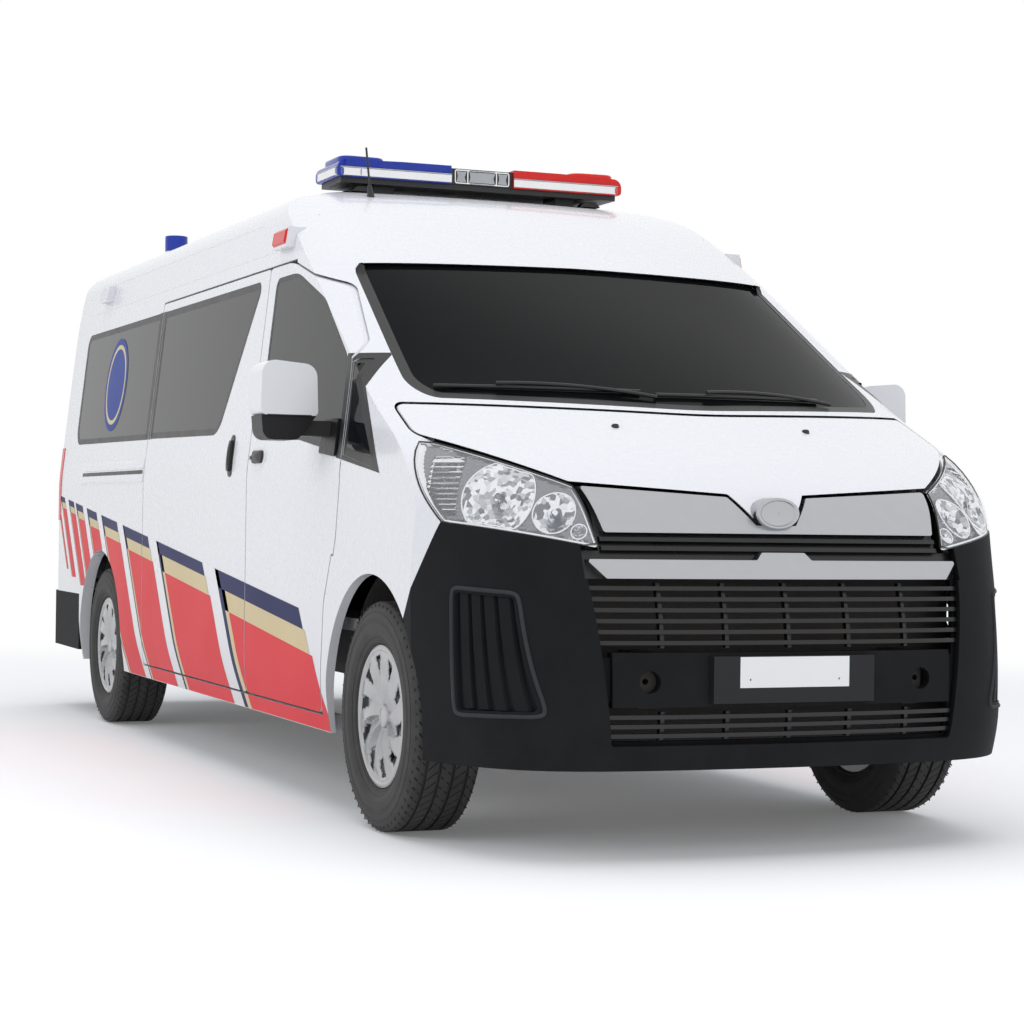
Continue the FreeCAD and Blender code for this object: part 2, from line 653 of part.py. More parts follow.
def rim(x, y, side):
    """Steel rim with a dished disc cut by twisted windows."""
    w = RIM_W / 2
    r = RIM_RADIUS - 16
    well = [(-w, r), (-w, r + 16), (-w - 6, r + 16), (-w - 6, r - 8), (-w + 20, r - 8), (-w + 40, r - 26),
            (w - 50, r - 26), (w - 30, r - 8), (w + 6, r - 8), (w + 6, r + 16), (w, r + 16), (w, r)]
    barrel = wheel_profile(well, x, y)
    bore = STUB_R + SEAT_GAP
    disc = wheel_profile([(side * 12, bore), (side * 12, 90), (side * 52, 150, 20), (side * 40, r - 12),
                          (side * 54, r - 12), (side * 68, 150, 20), (side * 34, 90), (side * 34, bore)], x, y)
    window = Part.makeCylinder(21, 400, V(x - 200, y, AXLE_Z + 128), V(1, 0, 0))
    for i in range(SPOKES):
        hole = window.copy()
        hole.rotate(V(x, y, AXLE_Z), V(1, 0, 0), 360.0 / SPOKES * i)
        disc = disc.cut(hole)
    return fused([barrel, disc])


def knuckle(side):
    """Steering knuckle: kingpin boss, brake disc and the stub that carries the wheel."""
    x = side * TRACK_FRONT / 2
    king = side * KING_X
    stub = rod(V(king - side * 20, AXLE_F, AXLE_Z), V(x + side * 40, AXLE_F, AXLE_Z), STUB_R)
    disc = rod(V(x - side * 24, AXLE_F, AXLE_Z), V(x - side * 2, AXLE_F, AXLE_Z), 145)
    boss = Part.makeCylinder(34, 200, V(king, AXLE_F, AXLE_Z - 100))
    arm = box(min(king, king - side * 90), max(king, king - side * 90), AXLE_F + 10, AXLE_F + 130,
              AXLE_Z - 20, AXLE_Z + 10)
    bore = Part.makeCylinder(KING_R + PIN_FIT, 300, V(king, AXLE_F, AXLE_Z - 150))
    return fused([stub, disc, boss, arm]).cut(bore)


def front_suspension():
    """Cross member with upper and lower arms, joined by the kingpins that the knuckles turn on."""
    pieces = [box(-RAIL_X - 40, RAIL_X + 40, AXLE_F - 90, AXLE_F + 90, 330, RAIL_Z[0] - SEAT_GAP)]
    for side in (-1, 1):
        king = side * KING_X
        pieces.append(rod(V(king, AXLE_F, AXLE_Z - 130), V(king, AXLE_F, AXLE_Z + 130), KING_R))
        pieces.append(Part.makeBox(30, 170, 110, V(side * (RAIL_X + 25) - 15, AXLE_F - 85, 226)))
        for z, inner in ((AXLE_Z - 130, RAIL_X + 20), (AXLE_Z + 106, RAIL_X + 60)):
            plan = outline([(king, AXLE_F - 30), (king, AXLE_F + 30), (side * inner, AXLE_F + 80),
                            (side * inner, AXLE_F - 80)], "z")
            pieces.append(prism(plan, "z", z, z + 24))
        rail_face = side * (RAIL_X + 35 + SEAT_GAP)
        pivot = side * (RAIL_X + 70)
        pieces.append(box(min(rail_face, pivot), max(rail_face, pivot), AXLE_F - 80, AXLE_F + 80,
                          AXLE_Z + 106, AXLE_Z + 130))
    return fused(pieces)


def rear_axle():
    y = AXLE_R
    tube = rod(V(-TRACK_REAR / 2 - 40, y, AXLE_Z), V(TRACK_REAR / 2 + 40, y, AXLE_Z), STUB_R)
    housing = rod(V(-620, y, AXLE_Z), V(620, y, AXLE_Z), 48)
    diff = rod(V(0, y - 130, AXLE_Z), V(0, y + 110, AXLE_Z), 140)
    return fused([tube, housing, diff])


SPRING_X = 530


def leaf_springs():
    springs = []
    for side in (-1, 1):
        x = side * SPRING_X
        leaf = box(x - 35, x + 35, AXLE_R - 620, AXLE_R + 620, AXLE_Z + 48.3, AXLE_Z + 62)
        short = box(x - 35, x + 35, AXLE_R - 330, AXLE_R + 330, AXLE_Z + 62, AXLE_Z + 76)
        springs.append(leaf.fuse(short))
    return springs

# ---------------------------------------------------------------------------------------------
# Chassis and what hangs under the floor
# ---------------------------------------------------------------------------------------------


def chassis_frame():
    pieces = []
    for side in (-1, 1):
        x = side * RAIL_X
        pieces.append(box(x - 35, x + 35, FRONT_Y, REAR_Y, *RAIL_Z))
        for y in (AXLE_R - 620, AXLE_R + 620):
            spring = side * SPRING_X
            near, far = sorted((spring - side * 100, spring + side * 35))
            pieces.append(box(near, far, y - 30, y + 30, AXLE_Z + 62, RAIL_Z[1] - 40))
    for y in CROSS_MEMBERS:
        pieces.append(box(-RAIL_X, RAIL_X, y - 40, y + 40, RAIL_Z[0] + 20, RAIL_Z[1] - 20))
    frame = fused(pieces).common(envelope(45 + SEAT_GAP))
    frame = frame.cut(box(-FAR, FAR, BODY_REAR - 100, FAR, REAR_BUMPER_Z[1] - 20, FAR))
    for x in (-TOW_X, TOW_X):
        frame = frame.cut(rod(V(x, FRONT_Y, TOW_Z), V(x, AXLE_F - TOW_END, TOW_Z), TOW_R))
    return largest(frame)


CROSS_MEMBERS = (AXLE_F - 605, AXLE_F + 700, AXLE_F + 1700, AXLE_F + 2700, AXLE_R + 660, BODY_REAR - 150)
FIREWALL_Y = AXLE_F + 80
RADIATOR_FRONT = 712       # front of the radiator's core, ahead of the axle
LINER_R = ARCH_RADIUS + 22
LINER_X = HALF_W - WALL - 40        # outer edge of the wheel housings
LINER_INNER = {AXLE_F: 480, AXLE_R: 600}


def floor():
    """Cab and load floor with the firewall, and the wheel housings let into it."""
    room = envelope(INNER + SEAT_GAP)
    plate = room.common(box(-FAR, FAR, FIREWALL_Y - 18, BODY_REAR - WALL - 10, FLOOR_Z - FLOOR_T, FLOOR_Z))
    firewall = room.common(box(-FAR, FAR, FIREWALL_Y - 18, FIREWALL_Y, FLOOR_Z, 1040))
    deck = fused([plate, firewall])
    for axle in (AXLE_F, AXLE_R):
        for side in (-1, 1):
            near, far = sorted((side * (LINER_INNER[axle] - SEAT_GAP), side * FAR))
            deck = deck.cut(arch(axle, LINER_R + SEAT_GAP).common(box(near, far, -FAR, FAR, 0, FAR)))
    return largest(deck)


def arch_liners():
    """Half-round wheel housings, open below and outside."""
    liners = []
    for axle in (AXLE_F, AXLE_R):
        drum = arch(axle, LINER_R)
        tub = drum.cut(arch(axle, LINER_R - 10))
        for side in (-1, 1):
            near, far = sorted((side * LINER_INNER[axle], side * LINER_X))
            span = box(near, far, axle - 700, axle + 700, AXLE_Z + 60, FAR)
            near, far = sorted((side * LINER_INNER[axle], side * (LINER_INNER[axle] + 8)))
            cheek = box(near, far, axle - 700, axle + 700, FLOOR_Z - FLOOR_T + 2, FAR)
            liners.append(fused([tub.common(span), drum.common(cheek)]))
    return liners


def engine():
    """Engine and gearbox in one plain mass, on the front cross member."""
    block = box(-300, 300, AXLE_F - 560, FIREWALL_Y - 20, RAIL_Z[0], 1010)
    gearbox = box(-160, 160, FIREWALL_Y - 20, AXLE_F + 640, RAIL_Z[0] + 20, RAIL_Z[1] - 10)
    return fused([block, gearbox])


def radiator():
    """Radiator on its carrier panel, which stands between and round the rails behind the grille."""
    front = AXLE_F - RADIATOR_FRONT
    panel = box(-640, 640, front - 14, front, 300, 1000).common(envelope(70))
    core = box(-RAIL_X + 35 + SEAT_GAP, RAIL_X - 35 - SEAT_GAP, front - 1, front + 60, 350, 960)
    carrier = fused([panel, core])
    for x in (-RAIL_X, RAIL_X):
        rail = box(x - 35 - SEAT_GAP, x + 35 + SEAT_GAP, -FAR, 0, RAIL_Z[0] - SEAT_GAP, RAIL_Z[1] + SEAT_GAP)
        carrier = carrier.cut(rail)
    return largest(carrier)


def fuel_tank():
    face = outline([(-380, 330, 60), (-380, 575, 60), (380, 575, 60), (380, 330, 60)], "y")
    return prism(face, "y", CROSS_MEMBERS[2] + 40 + SEAT_GAP, CROSS_MEMBERS[3] - 40 - SEAT_GAP)


def exhaust():
    """Silencer and tail pipe on hangers under the floor."""
    x, z = 620, 400
    muffler = rod(V(x, AXLE_F + 1300, z), V(x, AXLE_F + 1900, z), 80)
    pipe = rod(V(x, AXLE_F + 1900, z), V(x, AXLE_F + 2900, z), 26)
    hangers = [box(x - 12, x + 12, AXLE_F + y - 15, AXLE_F + y + 15, z, FLOOR_Z - FLOOR_T - SEAT_GAP)
               for y in (1400, 1800, 2700)]
    return fused([muffler, pipe, *hangers])


def rear_bumper():
    """Step bumper round the rear corners."""
    front = AXLE_R + BUMPER_START + SEAT_GAP
    low, high = REAR_BUMPER_Z[0], REAR_BUMPER_Z[1] - SEAT_GAP
    outer = [(-HALF_W, front), (-HALF_W, REAR_Y, 120), (HALF_W, REAR_Y, 120), (HALF_W, front)]
    half, back = HALF_W - 60, BODY_REAR - 45
    inner = [(-half, front - 1), (-half, back), (half, back), (half, front - 1)]
    beam = prism(outline(outer, "z"), "z", low, high)
    return largest(beam.cut(prism(outline(inner, "z"), "z", low - 1, high + 1)))


def tail_lamp():
    """Right rear lamp on the body's corner."""
    inside = box(-FAR, -818 - SEAT_GAP, BODY_REAR - 120 + SEAT_GAP, FAR, 930 + SEAT_GAP, 1290 - SEAT_GAP)
    return largest(layer(-3, TAIL_LAMP_T, inside))


# ---------------------------------------------------------------------------------------------
# Roof equipment
# ---------------------------------------------------------------------------------------------
BAR_Y = AXLE_F + 1700
BAR_HALF = 592
BAR_Z = 2238               # underside of the bar's tray
BAR_TRAY = 20


def light_bar_base():
    tray = box(-BAR_HALF + 20, BAR_HALF - 20, BAR_Y - 120, BAR_Y + 120, BAR_Z, BAR_Z + BAR_TRAY)
    feet = [box(x - 40, x + 40, BAR_Y - 60, BAR_Y + 60, BAR_Z - 60, BAR_Z) for x in (-380, 380)]
    return fused([tray] + [f.cut(envelope(-SEAT_GAP)) for f in feet])


def light_bar_lens(side):
    foot = BAR_Z + BAR_TRAY + SEAT_GAP
    face = outline([(side * 130, foot), (side * BAR_HALF, foot, 15), (side * BAR_HALF, BAR_Z + 84, 35),
                    (side * 330, BAR_Z + 90, 60), (side * 130, BAR_Z + 90)], "y")
    return prism(face, "y", BAR_Y - 135, BAR_Y + 135)


def light_bar_centre():
    return box(-129.7, 129.7, BAR_Y - 125, BAR_Y + 125, BAR_Z + BAR_TRAY + SEAT_GAP, BAR_Z + 82)


def antenna():
    """Short whip aerial on the front of the roof."""
    foot, lean = V(-520, AXLE_F + 1350, 2060), V(0, 90, 290)
    cone = Part.makeCone(30, 8, 150, foot, lean)
    return largest(cone.fuse(rod(foot + lean * 0.3, foot + lean, 4)).cut(envelope(-SEAT_GAP)))


def side_warning_lamp(y, z):
    """Lamp on the right roof edge, its face parallel to the body side."""
    return largest(layer(-34, -SEAT_GAP, box(-FAR, -700, y - 82, y + 82, z - 36, z + 36)))


def roof_beacon():
    base = V(-600, AXLE_F + 4000, 2190)
    return Part.makeCylinder(52, 95, base).cut(envelope(-SEAT_GAP))


# ---------------------------------------------------------------------------------------------
# Mirrors, wipers and number plate fittings
# ---------------------------------------------------------------------------------------------


def mirror():
    """Right door mirror: shell on an arm from the sail panel."""
    cap = outline([(-1208, 1296, 25), (-1203, 1478, 45), (-1020, 1462, 45), (-1014, 1296, 15)], "y")
    shell_cap = prism(cap, "y", AXLE_F + 425, AXLE_F + 565)
    lower = outline([(-1195, 1217, 35), (-1202, 1296), (-1018, 1296), (-1080, 1217, 30)], "y")
    foot = prism(lower, "y", AXLE_F + 435, AXLE_F + 555)
    arm = prism(outline([(-1090, AXLE_F + 470), (-1090, AXLE_F + 545), (-940, AXLE_F + 520), (-940, AXLE_F + 430)],
                        "z"), "z", 1232, 1282)
    sail = layer(-8, -SEAT_GAP, right_side([(370, 1165, 10), (370, 1290, 20), (520, 1290, 20), (540, 1180, 10)]))
    return fused([shell_cap, foot, largest(arm.cut(envelope(-SEAT_GAP))), largest(sail)])


# ---------------------------------------------------------------------------------------------
# Cab and patient compartment
# ---------------------------------------------------------------------------------------------
SEAT_Y = AXLE_F + 930      # front of the seat boxes
SEAT_Z = (820, 925)        # foot and top of the cushions
WHEEL_X = 400              # the driver sits on the vehicle's left


def dashboard():
    wall = FIREWALL_Y + SEAT_GAP
    face = outline([(wall, 1000), (wall, 1050), (AXLE_F - 60, 1235, 40), (AXLE_F + 330, 1215, 90),
                    (AXLE_F + 470, 1130, 60), (AXLE_F + 400, 900, 60), (AXLE_F + 250, 800, 30)], "x")
    block = prism(face, "x", -800, 800).common(envelope(WALL + 40))
    cowl = on_column(Part.makeCylinder(42, 190, V(0, 0, -270)))
    return fused([largest(block), cowl])


def on_column(shape):
    """Place a piece made about the z axis on the steering column, with the wheel at its origin."""
    shape.rotate(V(0, 0, 0), V(1, 0, 0), -62)
    shape.translate(V(WHEEL_X, AXLE_F + 640, 1225))
    return shape


def steering_wheel():
    ring = Part.makeTorus(185, 15, V(0, 0, 0), V(0, 0, 1))
    spokes = [box(-178, 178, -14, 14, -8, 8), box(-14, 14, -178, 0, -8, 8), Part.makeCylinder(55, 40, V(0, 0, -20))]
    column = Part.makeCylinder(30, 70, V(0, 0, -80 + SEAT_GAP))
    return on_column(fused([ring, *spokes, column]))


def seat(x, half):
    """Cab seat on its box: cushion, back and head restraint as closed solids."""
    cushion = prism(outline([(SEAT_Y - 60, SEAT_Z[0], 40), (SEAT_Y - 60, SEAT_Z[1], 50), (SEAT_Y + 470, SEAT_Z[1], 30),
                             (SEAT_Y + 470, SEAT_Z[0], 30)], "x"), "x", x - half, x + half)
    foot = SEAT_Z[1] + SEAT_GAP
    back = prism(outline([(SEAT_Y + 345, foot, 20), (SEAT_Y + 420, 1480, 35), (SEAT_Y + 510, 1480, 35),
                          (SEAT_Y + 460, foot, 20)], "x"), "x", x - half, x + half)
    return cushion, back


def seat_base(x, half):
    return box(x - half + 30, x + half - 30, SEAT_Y, SEAT_Y + 400, FLOOR_Z, SEAT_Z[0] - SEAT_GAP)


PARTITION_Y = AXLE_F + 1500


def partition():
    """Bulkhead between the cab and the patient compartment, with a window."""
    wall = envelope(WALL + 40).common(box(-FAR, FAR, PARTITION_Y, PARTITION_Y + 30, FLOOR_Z, 2190))
    return wall.cut(box(-300, 300, PARTITION_Y - 1, PARTITION_Y + 31, 1350, 1750))


def stretcher():
    frame = [box(-540, -500, AXLE_F + 2150, AXLE_F + 4050, 900, 940), box(20, 60, AXLE_F + 2150, AXLE_F + 4050, 900, 940)]
    frame += [box(-540, 60, AXLE_F + y, AXLE_F + y + 40, 900, 940) for y in (2150, 3080, 4010)]
    frame += [box(x, x + 40, AXLE_F + y, AXLE_F + y + 40, FLOOR_Z + 60, 905)
              for x in (-540, 20) for y in (2400, 3750)]
    frame += [rod(V(x - 4, AXLE_F + y + 20, FLOOR_Z + 61), V(x + 44, AXLE_F + y + 20, FLOOR_Z + 61), 60.7)
              for x in (-540, 20) for y in (2400, 3750)]
    return fused(frame)


def mattress():
    face = outline([(-535, 940.3, 20), (-535, 1020, 30), (55, 1020, 30), (55, 940.3, 20)], "y")
    return prism(face, "y", AXLE_F + 2170, AXLE_F + 4030)


def bench():
    """Attendants' bench along the left wall, seat box only."""
    return box(430, 840, AXLE_F + 1750, AXLE_F + 3350, FLOOR_Z, 1050)


# ---------------------------------------------------------------------------------------------
# Everything is written out
# ---------------------------------------------------------------------------------------------


def main():
    right_wing, right_sill = front_wing(), sill()
    save("windscreen_frame", windscreen_frame())
    save("front_wings", right_wing, mirrored(right_wing))
    save("side_wall_right", side_wall(True))
    save("side_wall_left", mirrored(side_wall(False)))
    save("sills", right_sill, mirrored(right_sill))
    posts = [pillar(B_SEAM + SHUT_GAP / 2), pillar(SLIDE_REAR + SHUT_GAP / 2)]
    save("door_pillars", *posts, *[mirrored(p) for p in posts])
    save("roof", roof(), gate_bracket(-GATE_HINGE_X), gate_bracket(GATE_HINGE_X))
    save("front_bumper", front_bumper())
    save("grille", grille())
    save("plate_holder", plate_holder())
    save("grille_bars", *grille_bars())
    save("headlamps", headlamp(), mirrored(headlamp()))
    save("headlamp_lenses", headlamp_lens(), mirrored(headlamp_lens()))
    save("windscreen", pane(screen_zone, SCREEN))
    panes = [pane(right_side, points) for points in (QUARTER, SLIDING_WINDOW, REAR_WINDOW)]
    save("side_glass", *panes, *[mirrored(p) for p in panes])
    save("sliding_door", sliding_door())
    save("rear_bumper", rear_bumper())
    save("tail_lamps", tail_lamp(), mirrored(tail_lamp()))
    save("light_bar_base", light_bar_base(), light_bar_centre())
    save("light_bar_blue", light_bar_lens(-1))
    save("light_bar_red", light_bar_lens(1))
    save("antenna", antenna())
    lamp = side_warning_lamp(AXLE_F + 1230, 1965)
    rear_lamp = side_warning_lamp(AXLE_F + 4180, 2010)
    save("warning_lamps", lamp, mirrored(lamp), rear_lamp, mirrored(rear_lamp), roof_beacon())
    save("floor", floor())
    save("arch_liners", *arch_liners())
    save("chassis_frame", chassis_frame())
    save("engine", engine())
    save("radiator", radiator())
    save("fuel_tank", fuel_tank())
    save("exhaust", exhaust())
    save("front_suspension", front_suspension())
    save("rear_axle", rear_axle(), *leaf_springs())
    save("dashboard", dashboard())
    save("steering_wheel", steering_wheel())
    driver, crew = seat(WHEEL_X, 250), seat(-310, 400)
    save("cab_seats", *driver, *crew)
    save("seat_bases", seat_base(WHEEL_X, 250), seat_base(-310, 400))
    save("partition", partition())
    save("stretcher", stretcher())
    save("stretcher_mattress", mattress())
    save("bench", bench())
    right_door, door_pane, right_mirror = front_door(), pane(right_side, DOOR_WINDOW), mirror()
    for side, turn in (("right", lambda s: s), ("left", mirrored)):
        save("front_door_" + side, turn(right_door))
        save("front_door_glass_" + side, turn(door_pane))
        save("mirror_" + side, turn(right_mirror))
    save("tailgate", tailgate())
    save("tailgate_glass", pane(rear_zone, TAIL_WINDOW))
    save("bonnet", bonnet())
    for name, side in (("right", -1), ("left", 1)):
        save("knuckle_" + name, knuckle(side))
        for end, axle_y, track in (("front", AXLE_F, TRACK_FRONT), ("rear", AXLE_R, TRACK_REAR)):
            save("rim_%s_%s" % (end, name), rim(side * track / 2, axle_y, side))
            save("tyre_%s_%s" % (end, name), tyre(side * track / 2, axle_y))


main()
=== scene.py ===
# %% [markdown]
# # A long ambulance van with a high roof
# The shell, the doors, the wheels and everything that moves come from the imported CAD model, in
# metres, with the front facing -Y and the vehicle's right side at -X.  This notebook leaves those
# pieces where they are, gives each one its finish, and adds what a body shop and a converter would
# add: film stripes, lamps with their insides, tread, wipers, handles, seals and seats.

# %% Load the frame
import math

import bmesh
import bpy
from mathutils import Matrix, Vector
from mathutils.bvhtree import BVHTree


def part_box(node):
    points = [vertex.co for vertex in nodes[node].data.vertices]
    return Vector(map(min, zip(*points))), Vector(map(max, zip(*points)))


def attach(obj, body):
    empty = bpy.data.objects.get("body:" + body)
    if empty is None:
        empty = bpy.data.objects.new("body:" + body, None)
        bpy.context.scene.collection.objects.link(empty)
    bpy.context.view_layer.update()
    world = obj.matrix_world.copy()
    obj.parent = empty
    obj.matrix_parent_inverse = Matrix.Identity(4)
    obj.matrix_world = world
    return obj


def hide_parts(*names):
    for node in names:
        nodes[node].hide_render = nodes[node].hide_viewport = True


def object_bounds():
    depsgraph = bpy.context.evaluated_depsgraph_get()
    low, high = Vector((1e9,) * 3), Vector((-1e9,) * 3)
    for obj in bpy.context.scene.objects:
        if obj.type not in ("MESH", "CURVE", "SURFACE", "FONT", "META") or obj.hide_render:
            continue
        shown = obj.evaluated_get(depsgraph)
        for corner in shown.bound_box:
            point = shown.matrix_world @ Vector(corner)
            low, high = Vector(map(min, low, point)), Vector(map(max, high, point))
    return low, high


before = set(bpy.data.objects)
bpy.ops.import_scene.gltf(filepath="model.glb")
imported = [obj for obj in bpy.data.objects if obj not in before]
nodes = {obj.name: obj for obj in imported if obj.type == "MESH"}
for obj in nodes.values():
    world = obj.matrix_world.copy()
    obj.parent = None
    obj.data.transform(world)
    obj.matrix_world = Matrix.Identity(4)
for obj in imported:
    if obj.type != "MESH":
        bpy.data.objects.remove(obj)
cad_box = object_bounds()

# %% Sizes that the rest is worked out from
tyre_low, tyre_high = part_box("tyre_front_right")
AXLE_F = (tyre_low.y + tyre_high.y) / 2
AXLE_R = sum(corner.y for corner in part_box("tyre_rear_right")) / 2
TYRE_R = (tyre_high.z - tyre_low.z) / 2
TYRE_W = tyre_high.x - tyre_low.x
print("wheelbase %.3f m, tyre %.3f by %.3f m" % (AXLE_R - AXLE_F, 2 * TYRE_R, TYRE_W))

# %% [markdown]
# ## Camera
# The van is seen from its right front corner, from about the height of the bonnet, with a fairly
# long lens.  The camera is level but for a small roll, so its matrix is built from the three
# directions that it needs: right, up and back.

# %% Camera
CAMERA_AT = Vector((-3.275, -8.7475, 0.979))
AZIMUTH, ELEVATION, ROLL = math.radians(-22.41), math.radians(-0.11), math.radians(0.79)
LENS, SENSOR = 80.8, 36


def add_camera():
    level = math.cos(ELEVATION)
    back = Vector((math.sin(AZIMUTH) * level, -math.cos(AZIMUTH) * level, math.sin(ELEVATION)))
    right = Vector((math.cos(AZIMUTH), math.sin(AZIMUTH), 0))
    up = back.cross(right)
    rolled = right * math.cos(ROLL) + up * math.sin(ROLL)
    upright = up * math.cos(ROLL) - right * math.sin(ROLL)
    lens = bpy.data.cameras.new("camera")
    lens.lens, lens.sensor_width = LENS, SENSOR
    lens.clip_end = 200
    camera = bpy.data.objects.new("camera", lens)
    turned = Matrix((rolled, upright, back)).transposed().to_4x4()
    camera.matrix_world = Matrix.Translation(CAMERA_AT) @ turned
    bpy.context.scene.collection.objects.link(camera)
    bpy.context.scene.camera = camera


add_camera()
print("camera looks from", tuple(round(v, 2) for v in CAMERA_AT))

# %% [markdown]
# ## Writing finishes as sums
# A finish is a graph of nodes.  Drawing it by hand hides the arithmetic, so a small class stands for
# one socket and turns +, -, * and > into Math nodes.  Everything else goes through one method.

# %% Sockets that can be added and multiplied


class Wire:
    """One output socket.  Arithmetic on it adds the Math nodes that work it out."""

    def __init__(self, finish, socket):
        self.finish, self.socket = finish, socket

    def maths(self, operation, *values):
        return self.finish.node("ShaderNodeMath", {"operation": operation}, dict(enumerate(values)))

    def __add__(self, other):
        return self.maths("ADD", self, other)

    def __sub__(self, other):
        return self.maths("SUBTRACT", self, other)

    def __rsub__(self, other):
        return self.maths("SUBTRACT", other, self)

    def __mul__(self, other):
        return self.maths("MULTIPLY", self, other)

    def __gt__(self, other):
        return self.maths("GREATER_THAN", self, other)

    __radd__, __rmul__ = __add__, __mul__

    def clamped(self):
        return self.finish.node("ShaderNodeClamp", {}, {0: self})


class Finish:
    """A material under construction, with its main shader."""

    def __init__(self, name, **sockets):
        self.material = bpy.data.materials.new(name)
        self.material.use_nodes = True
        self.tree = self.material.node_tree
        self.shader = self.tree.nodes["Principled BSDF"]
        self.set(**sockets)

    def plug(self, socket, value):
        if isinstance(value, Wire):
            self.tree.links.new(value.socket, socket)
        elif hasattr(value, "__len__") and len(value) == 3 and socket.type == "RGBA":
            socket.default_value = (*value, 1)
        else:
            socket.default_value = value

    def node(self, kind, settings={}, sockets={}, out=0):
        made = self.tree.nodes.new(kind)
        for key, value in settings.items():
            if key == "stops":
                ramp = made.color_ramp.elements
                for i, (place, colour) in enumerate(value):
                    stop = ramp[i] if i < 2 else ramp.new(place)
                    stop.position, stop.color = place, (*colour, 1)
            else:
                setattr(made, key, value)
        for key, value in sockets.items():
            self.plug(made.inputs[key], value)
        return Wire(self, made.outputs[out])

    def set(self, **sockets):
        """Set or link sockets of the main shader; base_color stands for Base Color."""
        for key, value in sockets.items():
            self.plug(self.shader.inputs[key.replace("_", " ").title().replace("Ior", "IOR")], value)
        return self

    def place(self):
        """The point on the vehicle, in metres."""
        return self.node("ShaderNodeTexCoord", out=3)

    def axis(self, letter):
        return self.node("ShaderNodeSeparateXYZ", {}, {0: self.place()}, "XYZ".index(letter))

    def noise(self, scale, detail=3.0, rough=0.5):
        return self.node("ShaderNodeTexNoise", {}, {"Vector": self.place(), "Scale": scale, "Detail": detail,
                                                    "Roughness": rough})

    def blend(self, factor, low, high):
        """From colour low to colour high."""
        return self.node("ShaderNodeMix", {"data_type": "RGBA"}, {0: factor, 6: low, 7: high}, 2)

    def clouded(self, cloud, dark, pale, roughness, spread):
        """Colour from dark to pale and roughness that grows with it, both after one cloud of noise."""
        return self.set(base_color=self.blend(cloud, dark, pale), roughness=roughness + cloud * spread)

    def bump(self, height, distance, strength=1.0):
        return self.node("ShaderNodeBump", {}, {"Height": height, "Distance": distance, "Strength": strength})


def shaded(colour, share):
    """A colour with every channel multiplied by a share."""
    return tuple(c * share for c in colour)


print("arithmetic on sockets is ready")

# %% [markdown]
# ## Body paint
# The shell is solid white two-pack paint: a smooth coloured layer under clear lacquer.  Lacquer is
# never a perfect mirror; it has a faint orange peel about a centimetre across.  Road film greys the
# lowest part of the sides, fading out towards the waist.

# %% White paint


def white_paint():
    paint = Finish("white_paint", specular_ior_level=0.3, coat_weight=0.35, coat_roughness=0.05)
    low = (1 - (paint.axis("Z") - 0.3) * 1.6).clamped()
    film = low * low * paint.noise(5, 5, 0.6) * 0.5
    cloud = paint.noise(0.9, 2) * 0.6
    clean = paint.blend(cloud, (0.76, 0.768, 0.80), (0.81, 0.815, 0.835))
    paint.set(base_color=paint.blend(film, clean, (0.50, 0.48, 0.45)))
    paint.set(roughness=0.24 + film * 0.5 + paint.noise(30, 2) * 0.06)
    return paint.set(normal=paint.bump(paint.noise(90, 1), 0.00012)).material


WHITE = white_paint()
print("made", WHITE.name)

# %% [markdown]
# ## Plastics
# The bumpers are grained polypropylene, moulded in dark grey: the grain is a field of shallow cells
# about a millimetre wide, which makes the surface scatter light softly.  The grille is the same
# plastic without the grain and nearly black.  The difference is only roughness and bump.

# %% Moulded plastics


def grained_plastic(name, dark, pale, roughness=0.55, cell=900):
    plastic = Finish(name, specular_ior_level=0.11)
    grain = plastic.node("ShaderNodeTexVoronoi", {}, {"Vector": plastic.place(), "Scale": cell})
    cloud = plastic.noise(6, 4, 0.6)
    dust = (1 - (plastic.axis("Z") - 0.25) * 2.2).clamped() * cloud
    plastic.set(base_color=plastic.blend(cloud * 0.7 + dust * 0.5, dark, pale))
    plastic.set(roughness=roughness + grain * 0.12 + cloud * 0.1)
    return plastic.set(normal=plastic.bump(grain, 0.0004, 0.7)).material


def smooth_plastic(name, colour, roughness=0.22):
    plastic = Finish(name)
    dark, pale = shaded(colour, 0.8), shaded(colour, 1.25)
    return plastic.clouded(plastic.noise(14, 3), dark, pale, roughness, 0.14).material


BUMPER = grained_plastic("bumper_plastic", (0.006, 0.0063, 0.007), (0.018, 0.0185, 0.020))
GRILLE_BLACK = smooth_plastic("grille_black", (0.008, 0.008, 0.009))
TRIM_BLACK = smooth_plastic("trim_black", (0.014, 0.014, 0.015), 0.35)
CABIN_PLASTIC = grained_plastic("cabin_plastic", (0.035, 0.036, 0.038), (0.06, 0.06, 0.062), 0.6, 700)
CABIN_PANEL = grained_plastic("cabin_panel", (0.46, 0.47, 0.48), (0.56, 0.57, 0.58), 0.45, 500)
print("plastics:", BUMPER.name, GRILLE_BLACK.name, CABIN_PLASTIC.name)

# %% [markdown]
# ## Metals
# Bright trim is satin silver paint over plastic, the mirrors and bowls are vacuum-plated, the wheels
# are silver lacquer and the chassis is black wax over steel.  A metal shows its colour only in its
# reflections, so roughness decides most of what is seen.

# %% Metals


def metal(name, colour, roughness, spread=0.1, scale=20, worn=0.0):
    finish = Finish(name, metallic=1.0)
    cloud = finish.noise(scale, 4, 0.6)
    return finish.clouded(cloud, shaded(colour, 0.9 - worn), colour, roughness, spread).material


def chassis_wax():
    wax = Finish("chassis_wax", specular_ior_level=0.4)
    cloud = wax.noise(9, 6, 0.7)
    wax.clouded(cloud, (0.012, 0.012, 0.013), (0.055, 0.047, 0.040), 0.5, 0.3)
    return wax.set(normal=wax.bump(cloud, 0.002, 0.5)).material


